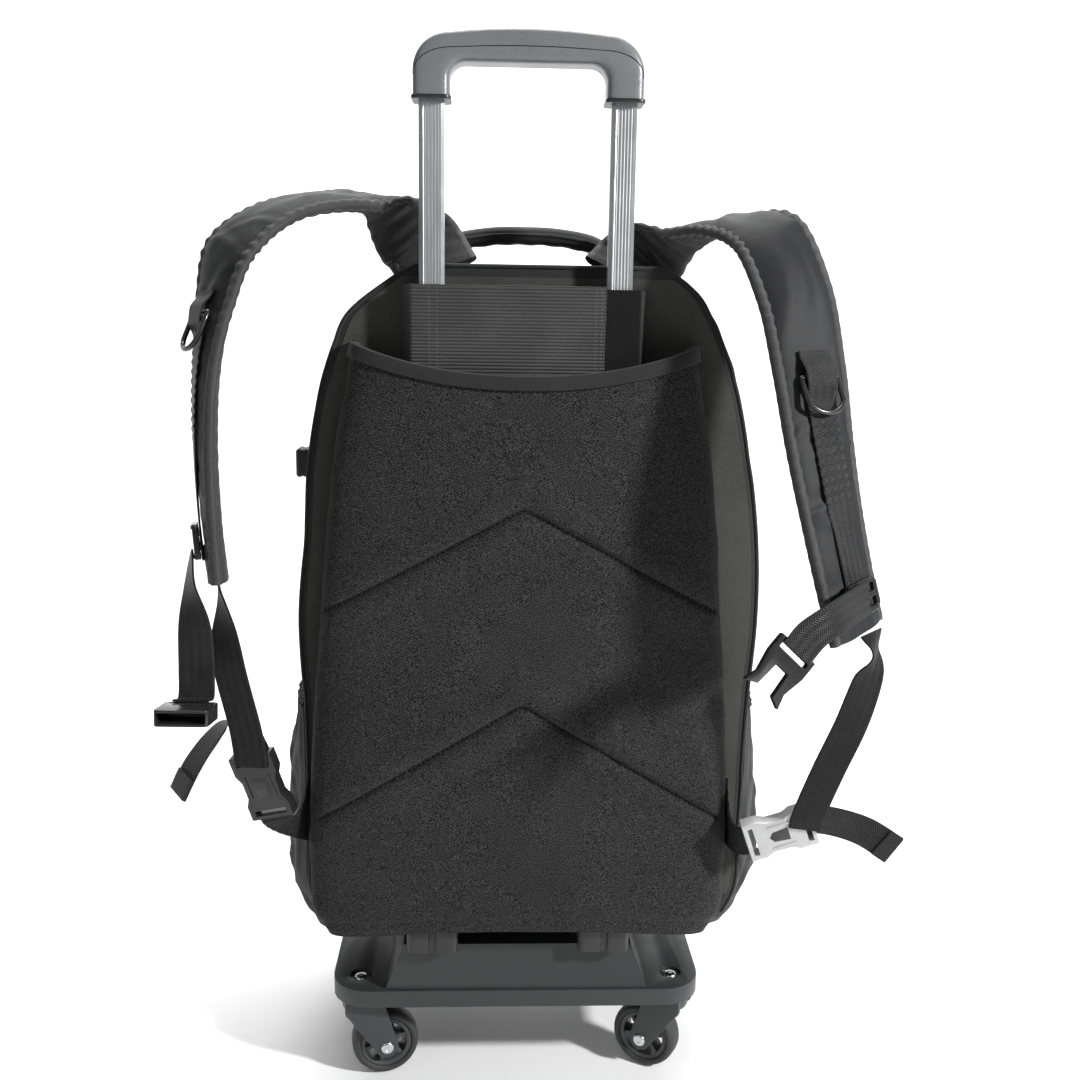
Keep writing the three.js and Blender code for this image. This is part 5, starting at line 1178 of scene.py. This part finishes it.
bar = WEBBING_WIDTH / 2 + RING_WIRE / 2 + 0.4
bow = arc(0, 0, bar, 180, 360, 40) * [1, 0.75] - [0, 15]
ring_line = np.concatenate([
    np.stack([np.linspace(bar, -bar, 14), np.zeros(14)], -1), [[-bar - 0.2, -1], [-bar - 0.1, -7]],
    bow, [[bar + 0.1, -7], [bar + 0.2, -1]],
])
ring_line = np.column_stack([ring_line, np.zeros(len(ring_line))])
for name, side in SIDES.items():
    route = STRAP_ROUTES[name]
    shares = np.concatenate([np.linspace(-16, 16, 45) / STRAP_LENGTH + RING_SHARE,
                             np.linspace(0.655, 0.965, 130)])
    away = np.abs(shares - RING_SHARE) * STRAP_LENGTH
    step = np.clip((away - RING_WIRE) / (3 * RING_WIRE), 0, 1)
    lift = 4.8 + (0.5 - 4.8) * step * step * (3 - 2 * step)
    sewn = np.clip((shares - 0.655) / 0.02, 0, 1) * np.clip((0.80 - shares) / 0.03, 0, 1)
    width = WEBBING_WIDTH - 4.5 * np.clip((shares - 0.80) / 0.03, 0, 1)
    band = ribbon(frames_on(route, shares, side), width, lift, 0.45 * sewn, 6.5)
    piece(f"strap_band_{name}", [band], shiny_webbing, "pack", [f"strap_webbing_{name}"], crease=60)

    place, run, across, out = (row[0] for row in frames_on(route, RING_SHARE, side))
    hang = turned(-run, across, -side * 12)
    ring = laid(ring_line, place + out * RING_LIFT, hang, out)
    flat_out = np.cross(unit(hang), across)
    wire = cord_round(ring, RING_WIRE / 2, unit(flat_out), True, 14)
    piece(f"ring_{name}", [wire], gloss_plastic, f"ring_{name}", [f"d_ring_{name}"], crease=60)
    eased(f"ladder_lock_{name}", f"webbing_lock_{name}", gloss_plastic, 0.8)
    place, run, across, out = (row[0] for row in frames_on(route, LOCK_SHARE, side))
    teeth = [plate(oblong(11.5, 0.55, 0.5, 3, 0, y), 3.9, 4.9, 0.4, 2) for y in (-10.6, -9.2, 9.2, 10.6)]
    teeth = [solid(laid(tooth, place + out * 2.4, -run, out))
             for tooth in teeth]
    piece(f"webbing_lock_teeth_{name}", teeth, gloss_plastic)

# Lower webbing. A long strap runs from each ladder lock to a side-release buckle, which a tab sewn
# into the bag's side seam holds, and its free tail comes out behind the buckle.
LOWER_ROUTES = {
    "right": np.array([
        (1.026, 0.84, -1.0135, 40, 12), (1.04, 0.86, -1.07, 65, 0), (1.03, 0.82, -1.15, 20, -15),
        (1.0, 0.72, -1.3, 5, -22), (0.95, 0.61, -1.46, 3, -26), (0.91, 0.52, -1.6, 3, -24),
        (0.9, 0.48, -1.665, 3, -20),
    ]),
    "left": np.array([
        (0.887, 0.75, -0.884, 79, 0), (0.878, 0.74, -0.96, 60, 3), (0.875, 0.74, -1.05, 30, 8),
        (0.868, 0.7, -1.15, 12, 12), (0.838, 0.57, -1.34, 8, 15), (0.828, 0.51, -1.46, 8, 18),
    ]),
}
TAIL_ROUTES = {
    "right": np.array([(0, 0, 0, -90, 78), (0.09, -0.01, -0.005, -90, 79), (0.2, 0.03, -0.033, -90, 82),
                       (0.3, 0.07, -0.09, -90, 84)]),
    "left": np.array([(0, 0, 0, 16, -27), (0.04, -0.01, 0.075, 21, -26), (0.09, -0.01, 0.105, 58, -12),
                      (0.14, 0.05, 0.06, 64, 8), (0.19, 0.11, -0.01, 54, 5), (0.23, 0.15, -0.09, 52, 0)]),
}
BUCKLE_LENGTH, BUCKLE_THICK, LOCK_BAR, TAB_LOW, TAB_ROOT = 52, 10, 4, 60, 58
# The right buckle's pale colour is painted highlight, standing for the bright glints on it.
highlight_buckle_plastic = moulded("painted_highlight_buckle_plastic", "grey_plastic", (0.42, 0.42, 0.42), 0.25, 1.2, 0.01)
dark_buckle = moulded("dark_buckle_plastic", "black_plastic", (0.013, 0.013, 0.0135), 0.22, 1.2, 0.01)
for name, side in SIDES.items():
    shares = np.linspace(0, 1, 130)
    frames = frames_on(LOWER_ROUTES[name], shares, side)
    piece(f"lower_band_{name}", [ribbon(frames)], flat_webbing, "pack", [f"lower_webbing_{name}"], crease=60)
    end_place, end_out = frames[0][-1], frames[3][-1]
    root = np.array([side * (PANEL_HALF + 2), BACK + BACK_CORNER, BAG_LOW + TAB_LOW], float)
    heart = end_place - end_out * (BUCKLE_THICK / 2 + 0.3)
    lengthways = root + [0, 0, TAB_ROOT / 2] - heart
    lengthways = unit(lengthways - end_out * (lengthways @ end_out))
    centre = heart + lengthways * (BUCKLE_LENGTH / 2 - 2 * LOCK_BAR)
    # The right buckle and its rails take the pale colour of painted highlight.
    finish = highlight_buckle_plastic if side > 0 else dark_buckle
    eased(f"side_release_buckle_{name}", f"side_buckle_{name}", finish, 1.3)
    # A dark plate of gloss plastic is drawn in each buckle's window: painted shade, standing for the shadowed
    # opening.
    window = np.array([[-5.5, -6.5], [5.5, -6.5], [4.2, 5.5], [0, 8.5], [-4.2, 5.5]])
    window_shade_plate = plate(window, BUCKLE_THICK / 2 - 0.6, BUCKLE_THICK / 2 + 0.25, 0.2, 2)
    rails = [plate(oblong(0.7, 9, 0.6, 4, x, -1), BUCKLE_THICK / 2 - 0.6, BUCKLE_THICK / 2 + 0.9, 0.5, 2)
             for x in (-9.5, 9.5)]
    parts = [solid(laid(part, centre, lengthways, end_out))
             for part in rails]
    piece(f"buckle_rails_{name}", parts, finish)
    window_shade = solid(laid(window_shade_plate, centre, lengthways, end_out))
    piece(f"buckle_window_shade_{name}", [window_shade], gloss_plastic)

    place, run, across, out = frames_on(TAIL_ROUTES[name], shares, side)
    behind = BUCKLE_THICK / 2 + 0.6 + (WEBBING if out[0] @ end_out > 0 else 0)
    place = place + heart - end_out * behind - place[0]
    tail = ribbon((place, run, across, out))
    fold_shares = np.linspace(0.86, 1.0, 14)
    hem = frames_on(TAIL_ROUTES[name], fold_shares, side)
    hem_place = hem[0] - frames_on(TAIL_ROUTES[name], 0, side)[0] + place[0]
    hemmed = ribbon((hem_place, *hem[1:]), WEBBING_WIDTH - 0.6, WEBBING - 0.1)
    piece(f"tail_band_{name}", [tail, hemmed], shiny_webbing, "pack", [f"webbing_tail_{name}"], crease=60)

    tab_end = centre + lengthways * (BUCKLE_LENGTH / 2 + 0.9)
    broad = unit(np.cross(lengthways, end_out))
    broad = broad * np.sign(broad[2])
    t, a = np.linspace(0, 1, 40)[:, None, None], np.linspace(-0.5, 0.5, 16)[None, :, None]
    near = tab_end + broad * a * WEBBING_WIDTH
    knee = near + lengthways * WEBBING_WIDTH / 2
    far = root + np.array([0, 0, 1.0]) * (a + 0.5) * TAB_ROOT
    tab = near * (1 - t) ** 2 + 2 * t * (1 - t) * knee + t * t * far
    thick = WEBBING + 0.25 * np.sin(np.linspace(0, 1, 40) * 50)[:, None] + 0 * tab[..., 0]
    piece(f"corner_tab_band_{name}", [slab(tab, thick, 0.0)], flat_webbing, "pack",
          [f"corner_tab_{name}"], crease=60)

# Sternum strap. A shiny webbing hangs from each shoulder strap, with a moulded clip of two prongs on
# the right one and its socket on the left.
STERNUM_ROUTES = {
    "right": np.array([
        (0.983, 1.085, -0.89, 36, -66), (0.87, 1.315, -0.927, 28, -62), (0.8, 1.34, -0.975, 8, -45),
        (0.755, 1.385, -1.022, 6, -42),
    ]),
    "left": np.array([
        (0.956, 0.79, -0.79, 77, 0), (0.962, 0.84, -0.89, 60, 0), (0.949, 0.9, -1.01, 15, 0),
        (0.949, 0.9, -1.12, 5, 0), (0.951, 0.92, -1.2, 3, 0), (0.953, 1.085, -1.195, 2, 0),
    ]),
}
for name, side in SIDES.items():
    frames = frames_on(STERNUM_ROUTES[name], np.linspace(0, 1, 110), side)
    piece(f"sternum_band_{name}", [ribbon(frames)], shiny_webbing, "pack",
          [f"sternum_webbing_{name}"], crease=60)
eased("sternum_buckle_male", "sternum_clip", gloss_plastic, 0.9)
eased("sternum_buckle_female", "sternum_socket", gloss_plastic, 0.7)
